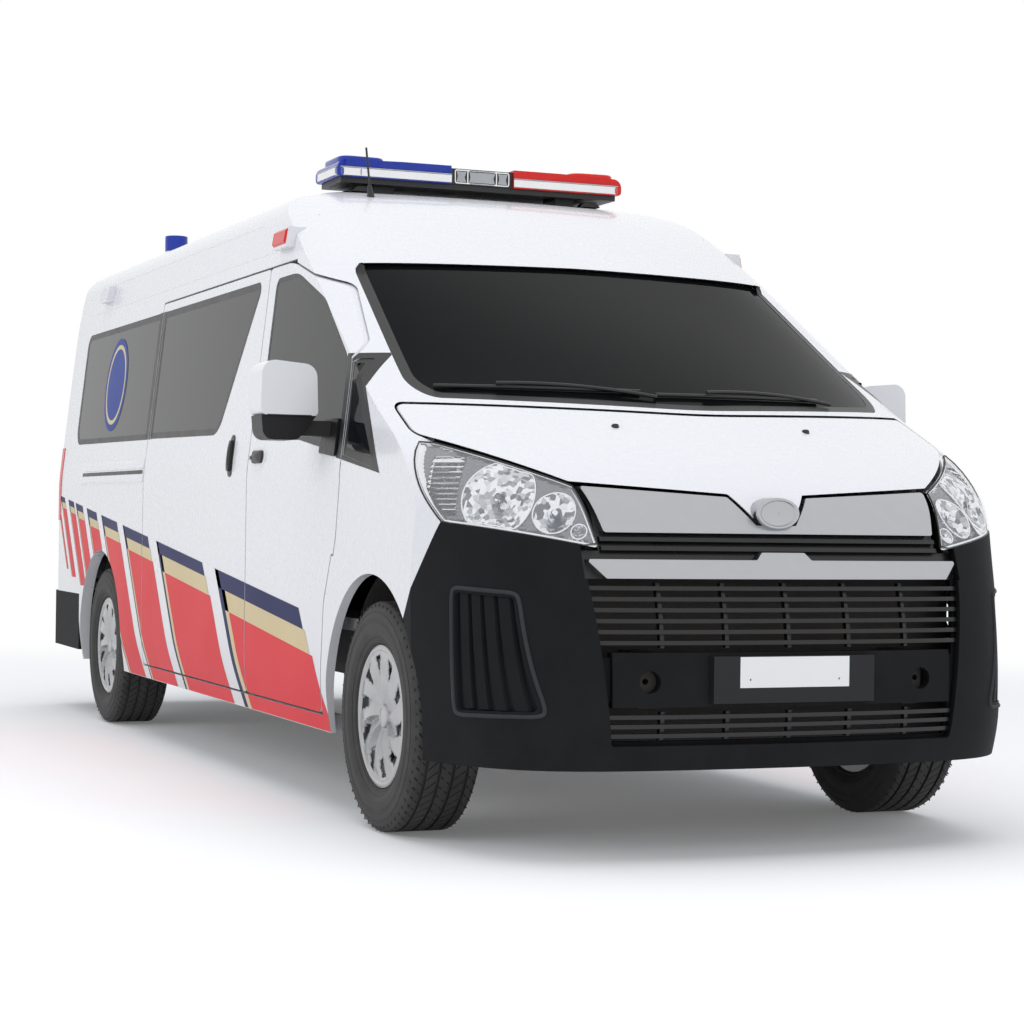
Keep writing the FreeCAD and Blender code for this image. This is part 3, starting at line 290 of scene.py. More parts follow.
def wheel_lacquer():
    """Silver lacquer, greyed in patches by brake dust."""
    lacquer = Finish("wheel_lacquer", metallic=0.75, coat_weight=0.5)
    lacquer.clouded(lacquer.noise(22, 5, 0.65), (0.34, 0.345, 0.35), (0.52, 0.525, 0.53), 0.3, 0.16)
    return lacquer.set(normal=lacquer.bump(lacquer.noise(160, 2), 0.0002)).material


SILVER = metal("silver_trim", (0.50, 0.51, 0.53), 0.27)
CHROME = metal("plated_bright", (0.88, 0.88, 0.90), 0.04, 0.05)
STEEL = metal("machined_steel", (0.42, 0.41, 0.40), 0.32, 0.15, 40, 0.2)
CAST = metal("cast_metal", (0.30, 0.29, 0.28), 0.5, 0.2, 60, 0.3)
ALUMINIUM = metal("bare_aluminium", (0.75, 0.76, 0.77), 0.3, 0.12)
WAX, WHEEL_SILVER = chassis_wax(), wheel_lacquer()
print("metals:", SILVER.name, CHROME.name, WAX.name, WHEEL_SILVER.name)

# %% [markdown]
# ## Glass and lenses
# The windows are tinted safety glass and the lamps have polycarbonate lenses.  Thin sheets like
# these hardly bend light, so each is a glossy surface that lets part of what is behind it through:
# its alpha says how much it hides.

# %% Glass and lenses


def sheet_glass(name, colour, hides, roughness=0.02, coat=0.0, gloss=0.5):
    glass = Finish(name, alpha=hides, coat_weight=coat, specular_ior_level=gloss)
    return glass.clouded(glass.noise(3.5, 4, 0.7), colour, shaded(colour, 1.5), roughness, 0.03).material


TINT = sheet_glass("tinted_glass", (0.006, 0.007, 0.008), 0.93, gloss=0.18)
SCREEN_TINT = sheet_glass("screen_glass", (0.004, 0.0045, 0.005), 0.92, gloss=0.03)
CLEAR = sheet_glass("clear_lens", (0.80, 0.82, 0.85), 0.10, 0.01, 1.0)
RED_LENS = sheet_glass("red_lens", (0.58, 0.012, 0.010), 0.94, 0.05, 0.25, gloss=0.2)
BLUE_LENS = sheet_glass("blue_lens", (0.008, 0.030, 0.30), 0.93, 0.05, 0.25, gloss=0.2)
AMBER_LENS = sheet_glass("amber_lens", (0.75, 0.24, 0.01), 0.88, 0.06, 0.6)
WHITE_LENS = sheet_glass("white_lens", (0.78, 0.80, 0.83), 0.45, 0.05, 0.8)
print("glass:", TINT.name, SCREEN_TINT.name, CLEAR.name)

# %% [markdown]
# ## Rubber, cloth and film
# Tyre rubber is dull and slightly brown with dust.  Seat cloth is woven, so two crossed waves raise
# its bump.  The mattress cover is wiped vinyl, and the stripes are coloured adhesive film.

# %% Rubber, cloth and film


def tyre_rubber():
    rubber = Finish("tyre_rubber", specular_ior_level=0.35)
    rubber.clouded(rubber.noise(14, 5, 0.65), (0.022, 0.022, 0.023), (0.085, 0.082, 0.080), 0.62, 0.2)
    return rubber.set(normal=rubber.bump(rubber.noise(240, 3), 0.0004, 0.6)).material


def seat_cloth():
    cloth = Finish("seat_cloth", roughness=0.92, sheen_weight=0.25)
    warp, weft = (cloth.node("ShaderNodeTexWave", {"bands_direction": way},
                             {"Vector": cloth.place(), "Scale": THREADS}) for way in "XZ")
    weave = warp * weft
    shade = weave * 0.6 + cloth.noise(12) * 0.3
    cloth.set(base_color=cloth.blend(shade, (0.018, 0.020, 0.026), (0.075, 0.08, 0.095)))
    return cloth.set(normal=cloth.bump(weave, 0.0006)).material


def wiped_vinyl(name, colour):
    vinyl = Finish(name)
    creases = vinyl.noise(60, 6, 0.7)
    vinyl.set(base_color=vinyl.blend(vinyl.noise(5, 3), shaded(colour, 0.75), colour))
    vinyl.set(roughness=0.42 + creases * 0.15)
    return vinyl.set(normal=vinyl.bump(creases, 0.0008, 0.6)).material


def film(name, colour):
    """Adhesive film: even colour, a light gloss and a little fading."""
    sheet = Finish(name, specular_ior_level=0.05)
    faded = sheet.noise(2.2, 4, 0.6)
    sheet.set(base_color=sheet.blend(faded * 0.8, colour, tuple(c * 0.82 + 0.008 for c in colour)))
    return sheet.set(roughness=0.30 + faded * 0.15).material


THREADS = 260
RUBBER, CLOTH = tyre_rubber(), seat_cloth()
MATTRESS = wiped_vinyl("mattress_cover", (0.62, 0.20, 0.03))
NAVY = film("navy_film", (0.012, 0.018, 0.095))
CREAM = film("cream_film", (0.72, 0.60, 0.36))
RED = film("red_film", (0.78, 0.050, 0.062))
BLUE = film("blue_film", (0.020, 0.055, 0.30))
SEAL = smooth_plastic("rubber_seal", (0.012, 0.012, 0.012), 0.55)


def two_tone(name, inside, outside, mask):
    """One moulding with a painted area: mask makes 1 where the colour is inside."""
    tone = Finish(name, specular_ior_level=0.25)
    tone.set(base_color=tone.blend(mask(tone), outside, inside))
    return tone.set(roughness=0.3 + tone.noise(40, 3) * 0.15).material


def plate_mask(tone):
    """Blank number plate on its holder."""
    x, z = tone.axis("X"), tone.axis("Z")
    return (x > -PLATE_HALF) * (PLATE_HALF - x > 0) * (z > PLATE_Z[0]) * (PLATE_Z[1] - z > 0)


PLATE_HALF, PLATE_Z = 0.178, (0.500, 0.588)
MIRROR_SEAM = 1.297   # height at which the mirror's black foot meets its white shell
MIRROR = two_tone("mirror_shell", (0.80, 0.805, 0.82), (0.012, 0.012, 0.013),
                  lambda tone: tone.axis("Z") > MIRROR_SEAM - 0.0005)
PLATED = two_tone("plate_and_holder", (0.84, 0.84, 0.83), (0.016, 0.016, 0.018), plate_mask)
print("soft finishes:", RUBBER.name, CLOTH.name, MATTRESS.name, NAVY.name)

# %% Finish of every CAD piece
FINISH_OF = {
    WHITE: "windscreen_frame front_wings side_wall_right side_wall_left roof sliding_door front_door_right "
           "front_door_left tailgate bonnet warning_lamps sills",
    BUMPER: "front_bumper rear_bumper",
    TRIM_BLACK: "antenna light_bar_base door_pillars",
    MIRROR: "mirror_right mirror_left",
    PLATED: "plate_holder",
    GRILLE_BLACK: "grille",
    SILVER: "grille_bars",
    CHROME: "headlamps",
    CLEAR: "headlamp_lenses",
    TINT: "side_glass front_door_glass_right tailgate_glass",
    SCREEN_TINT: "windscreen front_door_glass_left",
    RED_LENS: "tail_lamps light_bar_red",
    BLUE_LENS: "light_bar_blue",
    WAX: "chassis_frame front_suspension rear_axle arch_liners fuel_tank radiator",
    CAST: "knuckle_right knuckle_left engine",
    STEEL: "exhaust",
    WHEEL_SILVER: "rim_front_right rim_front_left rim_rear_right rim_rear_left",
    RUBBER: "tyre_front_right tyre_front_left tyre_rear_right tyre_rear_left",
    CABIN_PLASTIC: "dashboard steering_wheel seat_bases",
    CABIN_PANEL: "floor partition bench",
    CLOTH: "cab_seats",
    MATTRESS: "stretcher_mattress",
    ALUMINIUM: "stretcher",
}
for finish, names in FINISH_OF.items():
    for name in names.split():
        mesh = nodes[name].data
        mesh.materials.clear()
        mesh.materials.append(finish)
        mesh.set_sharp_from_angle(angle=math.radians(32))
print("CAD pieces without a finish:", sorted(set(nodes) - set(" ".join(FINISH_OF.values()).split())))

# %% [markdown]
# ## Stripes of film
# The stripes are sheets of coloured film, cut with straight edges and smoothed over doors, walls and
# sills.  A film piece is therefore cut from the panel itself: the panel's outward faces are copied,
# sliced by one plane for each edge of the sheet, and lifted by the thickness of the film.  It rides
# on the body that the panel belongs to, so a stripe parts where a door opens.

# %% Cutting film from a panel
FILM = 0.0006
RIGHT, LEFT = -1, 1


def panel_faces(name, side):
    """The panel's faces that look outward on one side, as a fresh mesh."""
    work = bmesh.new()
    work.from_mesh(nodes[name].data)
    bmesh.ops.remove_doubles(work, verts=work.verts, dist=1e-6)
    inward = [f for f in work.faces if f.normal.x * side < 0.35 or f.calc_center_median().x * side < 0.5]
    bmesh.ops.delete(work, geom=inward, context="FACES")
    return work


def cut_to_sheet(work, sheet):
    """Keep what lies inside a convex outline of (y from the front axle, z)."""
    mean_y, mean_z = (sum(p[k] for p in sheet) / len(sheet) for k in (0, 1))
    middle = Vector((0, AXLE_F + mean_y, mean_z))
    for (y0, z0), (y1, z1) in zip(sheet, sheet[1:] + sheet[:1]):
        start = Vector((0, y0 + AXLE_F, z0))
        across = Vector((0, z1 - z0, y0 - y1)).normalized()
        if (middle - start).dot(across) > 0:
            across = -across
        bmesh.ops.bisect_plane(work, geom=work.verts[:] + work.edges[:] + work.faces[:], dist=1e-6,
                               plane_co=start, plane_no=across, clear_outer=True)


def apply_film(label, finish, body, panels, sheets, side, lift=FILM):
    """Film on the panels, one piece of mesh for each sheet that falls on a panel."""
    made = bmesh.new()
    for panel in panels:
        whole = panel_faces(panel, side)
        for sheet in sheets:
            work = whole.copy()
            cut_to_sheet(work, sheet)
            if work.faces:
                bmesh.ops.recalc_face_normals(work, faces=work.faces)
            for vertex in work.verts:
                vertex.co.x += side * lift
            part = bpy.data.meshes.new("cut")
            work.to_mesh(part)
            made.from_mesh(part)
            bpy.data.meshes.remove(part)
            work.free()
        whole.free()
    mesh = bpy.data.meshes.new(label)
    made.to_mesh(mesh)
    made.free()
    if not mesh.polygons:
        return None
    if sum(p.normal.x * side for p in mesh.polygons) < 0:
        mesh.flip_normals()
    mesh.shade_smooth()
    mesh.materials.append(finish)
    piece = bpy.data.objects.new(label, mesh)
    bpy.context.scene.collection.objects.link(piece)
    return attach(piece, body)


# %% [markdown]
# Nine leaning blocks follow each other to the rear, each narrower than the one before it.  A block
# is a red field with a cream band and then a navy band over its top and down its rear edge.  They
# all hang from one line that rises gently to the rear, and lean at one angle.

# %% The nine blocks
LEAN = 0.755
TOP_FROM, TOP_RISE = 0.660, 0.0965   # height of the top line at the first block, and its rise per metre
FILM_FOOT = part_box("sills")[0].z + 0.002
# front and rear end at the top line, heights of the navy and cream bands, widths of their legs, foot
BLOCKS = [
    (0.739, 1.828, 0.070, 0.078, 0.050, 0.050, FILM_FOOT),
    (2.015, 2.771, 0.052, 0.070, 0.030, 0.036, FILM_FOOT),
    (2.924, 3.400, 0.050, 0.052, 0.018, 0.022, FILM_FOOT),
    (3.521, 3.845, 0.046, 0.046, 0.014, 0.018, FILM_FOOT),
    (3.954, 4.167, 0.040, 0.040, 0.012, 0.014, 0.600),
    (4.265, 4.425, 0.034, 0.036, 0.010, 0.012, 0.645),
    (4.471, 4.600, 0.030, 0.030, 0.008, 0.010, 0.620),
    (4.690, 4.790, 0.028, 0.028, 0.007, 0.009, 0.655),
    (4.850, 4.892, 0.026, 0.026, 0.006, 0.008, 0.690),
]


def top_line(y):
    """Height of the line that all blocks hang from."""
    return TOP_FROM + TOP_RISE * (y - BLOCKS[0][0])


def leaning(y_top, drop):
    """The point a drop below the top line on a leaning line that starts from it at y_top."""
    return (y_top - LEAN * drop, top_line(y_top) - drop)


def block_sheets(front, rear, navy_h, cream_h, navy_w, cream_w, foot):
    """Convex sheets of one block, as navy, cream and red lists."""
    step = 0.045 * (rear - front)
    inner, field = rear - navy_w, rear - navy_w - cream_w
    cream_front, red_front = front - step * 0.4, front - step
    top = navy_h + cream_h

    def at_foot(y_top):
        return leaning(y_top, top_line(y_top) - foot)

    navy = [[leaning(front, 0), leaning(rear, 0), leaning(rear, navy_h), leaning(front, navy_h)],
            [leaning(rear, 0), at_foot(rear), at_foot(inner), leaning(inner, 0)]]
    cream = [[leaning(cream_front, navy_h), leaning(inner, navy_h), leaning(inner, top),
              leaning(cream_front, top)],
             [leaning(inner, navy_h), at_foot(inner), at_foot(field), leaning(field, navy_h)]]
    red = [[leaning(red_front, top), leaning(field, top), at_foot(field), at_foot(red_front)]]
    return {"navy": navy, "cream": cream, "red": red}


SIDES = ((RIGHT, "right"), (LEFT, "left"))
WALLS = {RIGHT: ["side_wall_right", "sliding_door"], LEFT: ["side_wall_left"]}
STRIPES = [("navy", NAVY, FILM + 0.0001), ("cream", CREAM, FILM + 0.0002), ("red", RED, FILM)]
sheets = {"navy": [], "cream": [], "red": []}
for block in BLOCKS:
    for colour, cut in block_sheets(*block).items():
        sheets[colour] += cut
for side, word in SIDES:
    door = "front_door_" + word
    for body, panels in (("body", ["front_wings", *WALLS[side], "sills"]), (door, [door])):
        for colour, finish, lift in STRIPES:
            label = "stripe_%s_%s_%s" % (colour, word, body)
            apply_film(label, finish, body, panels, sheets[colour], side, lift)
print("film sheets per side:", {k: len(v) for k, v in sheets.items()})

# %% [markdown]
# ## Making and seating pieces
# A piece starts as a bmesh, which is built from points and faces and needs no scene.  One function
# turns it into an object: it merges doubled points, makes the faces look outward, rounds the shading
# except at sharp edges, and seats the piece on its body.  Another casts rays at the shell, because
# most trim follows the panels' curves.

# %% From bmesh to a seated piece
SLOT_OF = {
    WHITE: "body_paint", TRIM_BLACK: "dark_plastic", SEAL: "dark_plastic", BUMPER: "dark_plastic",
    GRILLE_BLACK: "black_trim", SILVER: "bright_trim", CHROME: "bright_trim", WHEEL_SILVER: "wheel_silver",
    CLEAR: "clear_lens", WHITE_LENS: "clear_lens", RED_LENS: "red_lens", AMBER_LENS: "red_lens",
    BLUE_LENS: "blue_lens", RUBBER: "tyre", CLOTH: "upholstery", MATTRESS: "mattress",
    ALUMINIUM: "stretcher_metal", CABIN_PLASTIC: "interior_plastic",
}


def seat(piece, finish, body):
    """Give an object its finish and put it on its body."""
    piece.data.materials.clear()
    piece.data.materials.append(finish)
    if piece.name not in bpy.context.scene.collection.objects:
        bpy.context.scene.collection.objects.link(piece)
    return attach(piece, body)


def from_bmesh(label, work, finish, body="body", sharp=38, bevel=0.0):
    bmesh.ops.remove_doubles(work, verts=work.verts, dist=2e-6)
    bmesh.ops.recalc_face_normals(work, faces=work.faces)
    mesh = bpy.data.meshes.new(label)
    work.to_mesh(mesh)
    work.free()
    mesh.shade_smooth()
    mesh.set_sharp_from_angle(angle=math.radians(sharp))
    piece = bpy.data.objects.new(label, mesh)
    if bevel:
        round_off = piece.modifiers.new("rounded_edges", "BEVEL")
        round_off.width, round_off.segments, round_off.limit_method = bevel, 2, "ANGLE"
        round_off.harden_normals = True
    return seat(piece, finish, body)


def circle(steps):
    """The cosine and sine of evenly spread turns."""
    return [(math.cos(k * math.tau / steps), math.sin(k * math.tau / steps)) for k in range(steps)]


def put(axis, along, a, b):
    """A point from its place along an axis and its two other coordinates."""
    return Vector({"x": (along, a, b), "y": (a, along, b), "z": (a, b, along)}[axis])


def add_grid(work, rows, across=False):
    """Quads between rows of points; across also joins the two ends of each row."""
    made = [[work.verts.new(p) for p in row] for row in rows]
    for low, high in zip(made, made[1:]):
        for j in range(len(low) if across else len(low) - 1):
            k = (j + 1) % len(low)
            work.faces.new((low[j], low[k], high[k], high[j]))


def add_lathe(work, profile, centre, axis="x", steps=48):
    """Profile of (offset along the axis, radius) turned about an axis through centre."""
    rows = [[Vector(centre) + put(axis, offset, radius * c, radius * s) for c, s in circle(steps)]
            for offset, radius in profile]
    add_grid(work, rows, across=True)


def add_slab(work, outline, low, high, axis="y"):
    """A prism over an outline of two coordinates, from low to high along an axis."""
    rings = [[work.verts.new(put(axis, along, *p)) for p in outline] for along in (low, high)]
    n = len(outline)
    for i in range(n):
        work.faces.new((rings[0][i], rings[0][(i + 1) % n], rings[1][(i + 1) % n], rings[1][i]))
    for ring in rings:
        work.faces.new(ring)


def tube(label, points, radius, finish, body="body", closed=False, smooth=True):
    """A round bar along points, which are control points of a smooth curve."""
    path = bpy.data.curves.new(label, "CURVE")
    path.dimensions, path.bevel_depth, path.bevel_resolution, path.use_fill_caps = "3D", radius, 2, True
    spline = path.splines.new("NURBS" if smooth else "POLY")
    spline.points.add(len(points) - 1)
    for point, place in zip(spline.points, points):
        point.co = (*place, 1)
    if smooth:
        spline.order_u = 3
        spline.use_endpoint_u = not closed
    spline.use_cyclic_u = closed
    made = bpy.data.objects.new(label, path)
    bpy.context.scene.collection.objects.link(made)
    bpy.context.view_layer.update()
    mesh = bpy.data.meshes.new_from_object(made.evaluated_get(bpy.context.evaluated_depsgraph_get()))
    bpy.data.objects.remove(made)
    mesh.name = label
    mesh.shade_smooth()
    return seat(bpy.data.objects.new(label, mesh), finish, body)


def rectangle(a0, b0, a1, b1):
    return [(a0, b0), (a1, b0), (a1, b1), (a0, b1)]


def rounded(outline, radius, steps=4):
    """A closed outline of two coordinates with every corner rounded."""
    made, n = [], len(outline)
    for i in range(n):
        p, a, b = (Vector(outline[k % n]) for k in (i, i - 1, i + 1))
        reach = min(radius, (a - p).length / 2.1, (b - p).length / 2.1)
        start, end = p + (a - p).normalized() * reach, p + (b - p).normalized() * reach
        for k in range(steps + 1):
            t = k / steps
            made.append(tuple(start * (1 - t) ** 2 + p * 2 * t * (1 - t) + end * t ** 2))
    return made


print("materials with a slot:", len(SLOT_OF))

# %% Finding the shell
SHELL = ("windscreen_frame front_wings side_wall_right side_wall_left roof sliding_door "
         "front_door_right sills front_door_left tailgate bonnet front_bumper rear_bumper windscreen "
         "side_glass front_door_glass_right front_door_glass_left tailgate_glass headlamp_lenses "
         "tail_lamps").split()


def ray_tree(names):
    points, faces = [], []
    for name in names:
        mesh = nodes[name].data
        start = len(points)
        points += [v.co.copy() for v in mesh.vertices]
        faces += [[start + i for i in p.vertices] for p in mesh.polygons]
    return BVHTree.FromPolygons(points, faces)


shell = ray_tree(SHELL)


def on_side(y, z, side, tree=shell):
    """Point and normal seen from one side; y is measured from the front axle."""
    return tree.ray_cast(Vector((side * 3, AXLE_F + y, z)), Vector((-side, 0, 0)))[:2]


def on_rear(x, z):
    return shell.ray_cast(Vector((x, cad_box[1].y + 1, z)), Vector((0, -1, 0)))[:2]


def on_top(x, y, tree=shell):
    return tree.ray_cast(Vector((x, AXLE_F + y, 4)), Vector((0, 0, -1)))[:2]


BRIM = 0.965   # share of a pad's outline at which its rounded edge ends
PAD_RINGS = 3


def add_pad(work, find, outline, lift, foot=-0.004, crown=0.0):
    """A raised plate on the shell: outline in find's two coordinates, rounded up toward its middle."""
    middle = [sum(p[k] for p in outline) / len(outline) for k in (0, 1)]
    rings = [(1.0, foot), (1.0, lift * 0.55), (BRIM, lift)]
    for k in range(1, PAD_RINGS + 1):
        share = BRIM * (1 - k / PAD_RINGS)
        rings.append((max(share, 0.02), lift + crown * (1 - share ** 2)))
    rows = []
    for share, height in rings:
        found = [find(*(middle[k] + (p[k] - middle[k]) * share for k in (0, 1))) for p in outline]
        rows.append([spot + normal * height for spot, normal in found])
    add_grid(work, rows, across=True)


print("shell of", len(SHELL), "nodes; waist at x %.3f m" % on_side(1.0, 1.0, LEFT)[0].x)

# %% [markdown]
# ## Wheels
# The steel wheels carry silver trims.  Each trim is one moulding with ten blades that twist like those
# of a turbine: along each blade one edge stands proud and the other dips, and a window opens beside it
# near the rim.  That is a height over radius and angle, so the face is a grid in polar coordinates with
# a saw-tooth that swirls with the radius, and the cells in each window are left out.

# %% Wheel trims
BLADES, STEPS, RINGS = 10, 180, 20
CAP_R, TRIM_R = 0.030, 0.207
FALL = 0.86   # share of a blade's turn over which it dips; over the rest it rises again
WINDOW_RINGS, WINDOW_PHASE = (11, 17), (0.50, 0.84)


def trim_point(radius, turn):
    """Offset outward from the wheel's middle plane on the trim's face, and the place along a blade."""
    share = (radius - CAP_R) / (TRIM_R - CAP_R)
    phase = (turn * BLADES / math.tau + 0.62 * share ** 1.3) % 1
    dish = 0.079 + 0.017 * math.sin(share * math.pi * 0.62)
    rise = 0.5 - phase if phase < FALL else 0.5 - FALL + (phase - FALL) / (1 - FALL) * FALL
    return dish + 0.026 * rise * math.sin(min(share * 1.15, 1.0) * math.pi) ** 0.6, phase


def wheel_trim(body, centre, side):
    work = bmesh.new()
    table, phases = {}, {}
    for i in range(RINGS + 1):
        radius = CAP_R + (TRIM_R - CAP_R) * i / RINGS
        for k, (c, s) in enumerate(circle(STEPS)):
            out, phases[i, k] = trim_point(radius, k * math.tau / STEPS)
            table[i, k] = work.verts.new(centre + Vector((side * out, radius * c, radius * s)))
    for i in range(RINGS):
        for k in range(STEPS):
            open_ring = WINDOW_RINGS[0] <= i <= WINDOW_RINGS[1]
            if not (open_ring and WINDOW_PHASE[0] < phases[i, k] < WINDOW_PHASE[1]):
                j = (k + 1) % STEPS
                work.faces.new((table[i, k], table[i, j], table[i + 1, j], table[i + 1, k]))
    piece = from_bmesh("wheel_trim_" + body[6:], work, WHEEL_SILVER, body, sharp=28)
    thick = piece.modifiers.new("moulding", "SOLIDIFY")
    thick.thickness, thick.offset = 0.007, -1.0
    if piece.data.polygons[0].normal.x * side < 0:
        piece.data.flip_normals()


# profiles of (offset outward, radius)
LIP = [(0.084, 0.196), (0.094, 0.200), (0.0985, 0.207), (0.0985, 0.214), (0.096, 0.2185), (0.088, 0.219)]
CENTRE_CAP = [(0.070, 0.036), (0.088, 0.035), (0.0905, 0.032), (0.0905, 0.027), (0.0885, 0.0255),
              (0.0885, 0.022), (0.090, 0.012), (0.0902, 0.0)]


def trim_ring(body, centre, side):
    """Outer lip over the rim's edge and the plain centre cap."""
    work = bmesh.new()
    for profile, steps in ((LIP, 96), (CENTRE_CAP, 48)):
        add_lathe(work, [(side * x, r) for x, r in profile], centre, steps=steps)
    from_bmesh("trim_lip_" + body[6:], work, WHEEL_SILVER, body, sharp=50)


WHEELS = []
for end in ("front", "rear"):
    for side, word in SIDES:
        body, node = ("%s_%s_%s" % (kind, end, word) for kind in ("wheel", "tyre"))
        low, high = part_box(node)
        WHEELS.append((body, node, (low + high) / 2, side))
for body, _, centre, side in WHEELS:
    wheel_trim(body, centre, side)
    trim_ring(body, centre, side)
print("trims on", len(WHEELS), "wheels")

# %% [markdown]
# The tyre's ribs are crossed by narrow sipes, drawn as painted shade: near-black patches a hair proud
# of the rubber stand for the shadow inside each cut, without cutting the carcass.  Small blocks stand
# across the outer shoulder, and the side wall has fine moulding rings and a rim guard.

# %% Tread and side walls
SIPES, SIPE_HALF, SIPE_SLANT, SIPE_PROUD = 64, 0.003, 0.014, 0.0003
# middle and half width of each rib
RIBS = [(-0.0855, 0.0135), (-0.044, 0.0155), (0.0, 0.0155), (0.044, 0.0155), (0.0855, 0.0135)]
# radius, height and half width of each ring on the side wall
WALL_RINGS = [(0.231, 0.0022, 0.004), (0.244, 0.0012, 0.0016), (0.292, 0.0008, 0.0013),
              (0.300, 0.0008, 0.0013), (0.322, 0.0014, 0.002)]
SHOULDER_BLOCKS, SHOULDER_R, BLOCK_HALF = 60, 0.338, Vector((0.0012, 0.0022, 0.010))
# near-black finish of the sipe patches: painted shade for the shadow inside each cut
sipe_shade_finish = smooth_plastic("sipe_shadow", (0.002, 0.002, 0.002), 0.8)
SLOT_OF[sipe_shade_finish] = "tyre"


def paint_sipe_shade(body, centre):
    # painted shade: one near-black patch on the rib for each sipe, standing for the shadow in the cut
    work = bmesh.new()
    out = TYRE_R + SIPE_PROUD
    for rib, (x, half) in enumerate(RIBS):
        for k in range(SIPES):
            turn = (k + 0.5 * (rib % 2)) * math.tau / SIPES
            slant = (-1) ** rib * SIPE_SLANT
            quad = []
            for dx, dt in ((-half, -SIPE_HALF), (half, -SIPE_HALF), (half, SIPE_HALF), (-half, SIPE_HALF)):
                angle = turn + (dt + slant * dx / half) / TYRE_R
                spot = Vector((x + dx, out * math.cos(angle), out * math.sin(angle)))
                quad.append(work.verts.new(centre + spot))
            work.faces.new(quad)
    from_bmesh("tread_sipes_" + body[6:], work, sipe_shade_finish, body)


def side_wall_rings(body, node, centre, side):
    """Rings on both side walls, and short blocks across the outer shoulder."""
    tyre = ray_tree([node])

    def wall(radius, face):
        return tyre.ray_cast(centre + Vector((face * 0.4, radius, 0)), Vector((-face, 0, 0)))[0].x - centre.x

    work = bmesh.new()
    for radius, proud, width in WALL_RINGS:
        for face in (side, -side):
            foot, top = wall(radius, face) - face * 0.002, wall(radius, face) + face * proud
            profile = [(foot, radius - width), (top, radius - width * 0.5), (top, radius + width * 0.5),
                       (foot, radius + width)]
            add_lathe(work, profile, centre, steps=96)
    shoulder = Vector((wall(SHOULDER_R, side), 0, SHOULDER_R))
    for k in range(SHOULDER_BLOCKS):
        spin = Matrix.Rotation(k * math.tau / SHOULDER_BLOCKS, 3, "X")
        for vertex in bmesh.ops.create_cube(work, size=2)["verts"]:
            vertex.co = centre + spin @ (shoulder + vertex.co * BLOCK_HALF)
    from_bmesh("side_wall_rings_" + body[6:], work, RUBBER, body, sharp=60)


for body, node, centre, side in WHEELS:
    paint_sipe_shade(body, centre)
    side_wall_rings(body, node, centre, side)
print("sipes per tyre:", SIPES * len(RIBS))

# %% [markdown]
# ## Headlamps
# Under each clear lens lie a large faceted bowl, a smaller one nearer the grille, a small cell at the
# inner end and a louvred indicator at the outer end.  The lens slopes and wraps round the corner, so
# all of it is laid out in a plane turned toward the corner and then set back from the lens.  A bowl
# is a paraboloid whose rim follows the lens; its flat facets give broken reflections, and a painted
# reflection darkens some of its facet cells at random.

# %% Headlamp insides
LAMP_TURN = 0.65
# u across, z, radius, depth
BOWLS = [(0.268, 1.030, 0.108, 0.033), (0.100, 0.990, 0.058, 0.030), (0.026, 0.938, 0.021, 0.018)]
INDICATOR = (0.395, 0.500, 0.985, 1.150)   # u and z at its ends
LOUVRES, LOUVRE_CELLS = 11, 8
LOUVRE = [(0.0, 0.010), (0.0105, 0.022), (0.0135, 0.022)]   # height over its foot, depth behind the lens
SMALL_BOWL = 0.03
CELL, EDGE = 0.006, 0.009   # size of the surround's cells, and its distance from the lens's edge
SURROUND_FROM, SURROUND_CELLS = (-0.02, 0.890), (104, 54)   # its first corner, and its cells
lens_tree = ray_tree(["headlamp_lenses"])
LAMP_GREY = metal("lamp_satin", (0.17, 0.175, 0.19), 0.16, 0.08)
SLOT_OF[LAMP_GREY] = "lamp_bowl"


def plating_with_painted_reflection():
    """Bright plating pressed into small facets; a painted reflection darkens the colour of some cells at
    random, where facets would mirror the dark of the lamp.
    """
    plated = Finish("plating_with_painted_reflection", metallic=1.0, roughness=0.07)
    facets = plated.node("ShaderNodeTexVoronoi", {}, {"Vector": plated.place(), "Scale": 62.0}, 1)
    bright = plated.node("ShaderNodeSeparateColor", {}, {0: facets}, 0)
    shade = plated.node("ShaderNodeMapRange", {}, {"Value": bright, "From Min": 0.15, "From Max": 0.7})
    # painted reflection: dark cells in the plating's colour stand for facets that mirror the dark inside of
    # the lamp
    return plated.set(base_color=plated.blend(shade, (0.10, 0.105, 0.12), (0.86, 0.87, 0.90))).material


PLATING_PAINTED_REFLECTION = plating_with_painted_reflection()
SLOT_OF[PLATING_PAINTED_REFLECTION] = "lamp_bowl"


def lamp_out(side):
    """The direction in which a headlamp's parts face."""
    return Vector((side * math.sin(LAMP_TURN), -math.cos(LAMP_TURN), 0))


def lamp_spot(side, u, z, sink=0.0):
    """The point behind the lens at u across and z up, or None beside the lens."""
    out = lamp_out(side)
    across = Vector((-side * out.y, side * out.x, 0))
    spot = lens_tree.ray_cast(Vector((0, AXLE_F, z)) + across * u + out * 4, -out)[0]
    return spot and spot - out * sink


def rim_spot(side, u, z, radius, turn, sink):
    """A point of a bowl's rim, drawn in where the lens ends before it."""
    for share in range(40, 8, -1):
        reach = radius * share / 40
        beyond = reach + EDGE
        if lamp_spot(side, u + beyond * math.cos(turn), z + beyond * math.sin(turn)):
            return lamp_spot(side, u + reach * math.cos(turn), z + reach * math.sin(turn), sink)


def is_surround(side, u, z):
    """Whether a place lies on the lens, away from its edge, and on neither a bowl nor the indicator."""
    in_bowl = any(math.hypot(u - cu, z - cz) < radius - 0.002 for cu, cz, radius, _ in BOWLS)
    in_strip = INDICATOR[0] < u < INDICATOR[1] and INDICATOR[2] < z < INDICATOR[3]
    around = ((0, 0), (EDGE, 0), (-EDGE, 0), (0, EDGE), (0, -EDGE))
    return not in_bowl and not in_strip and all(lamp_spot(side, u + a, z + b) for a, b in around)


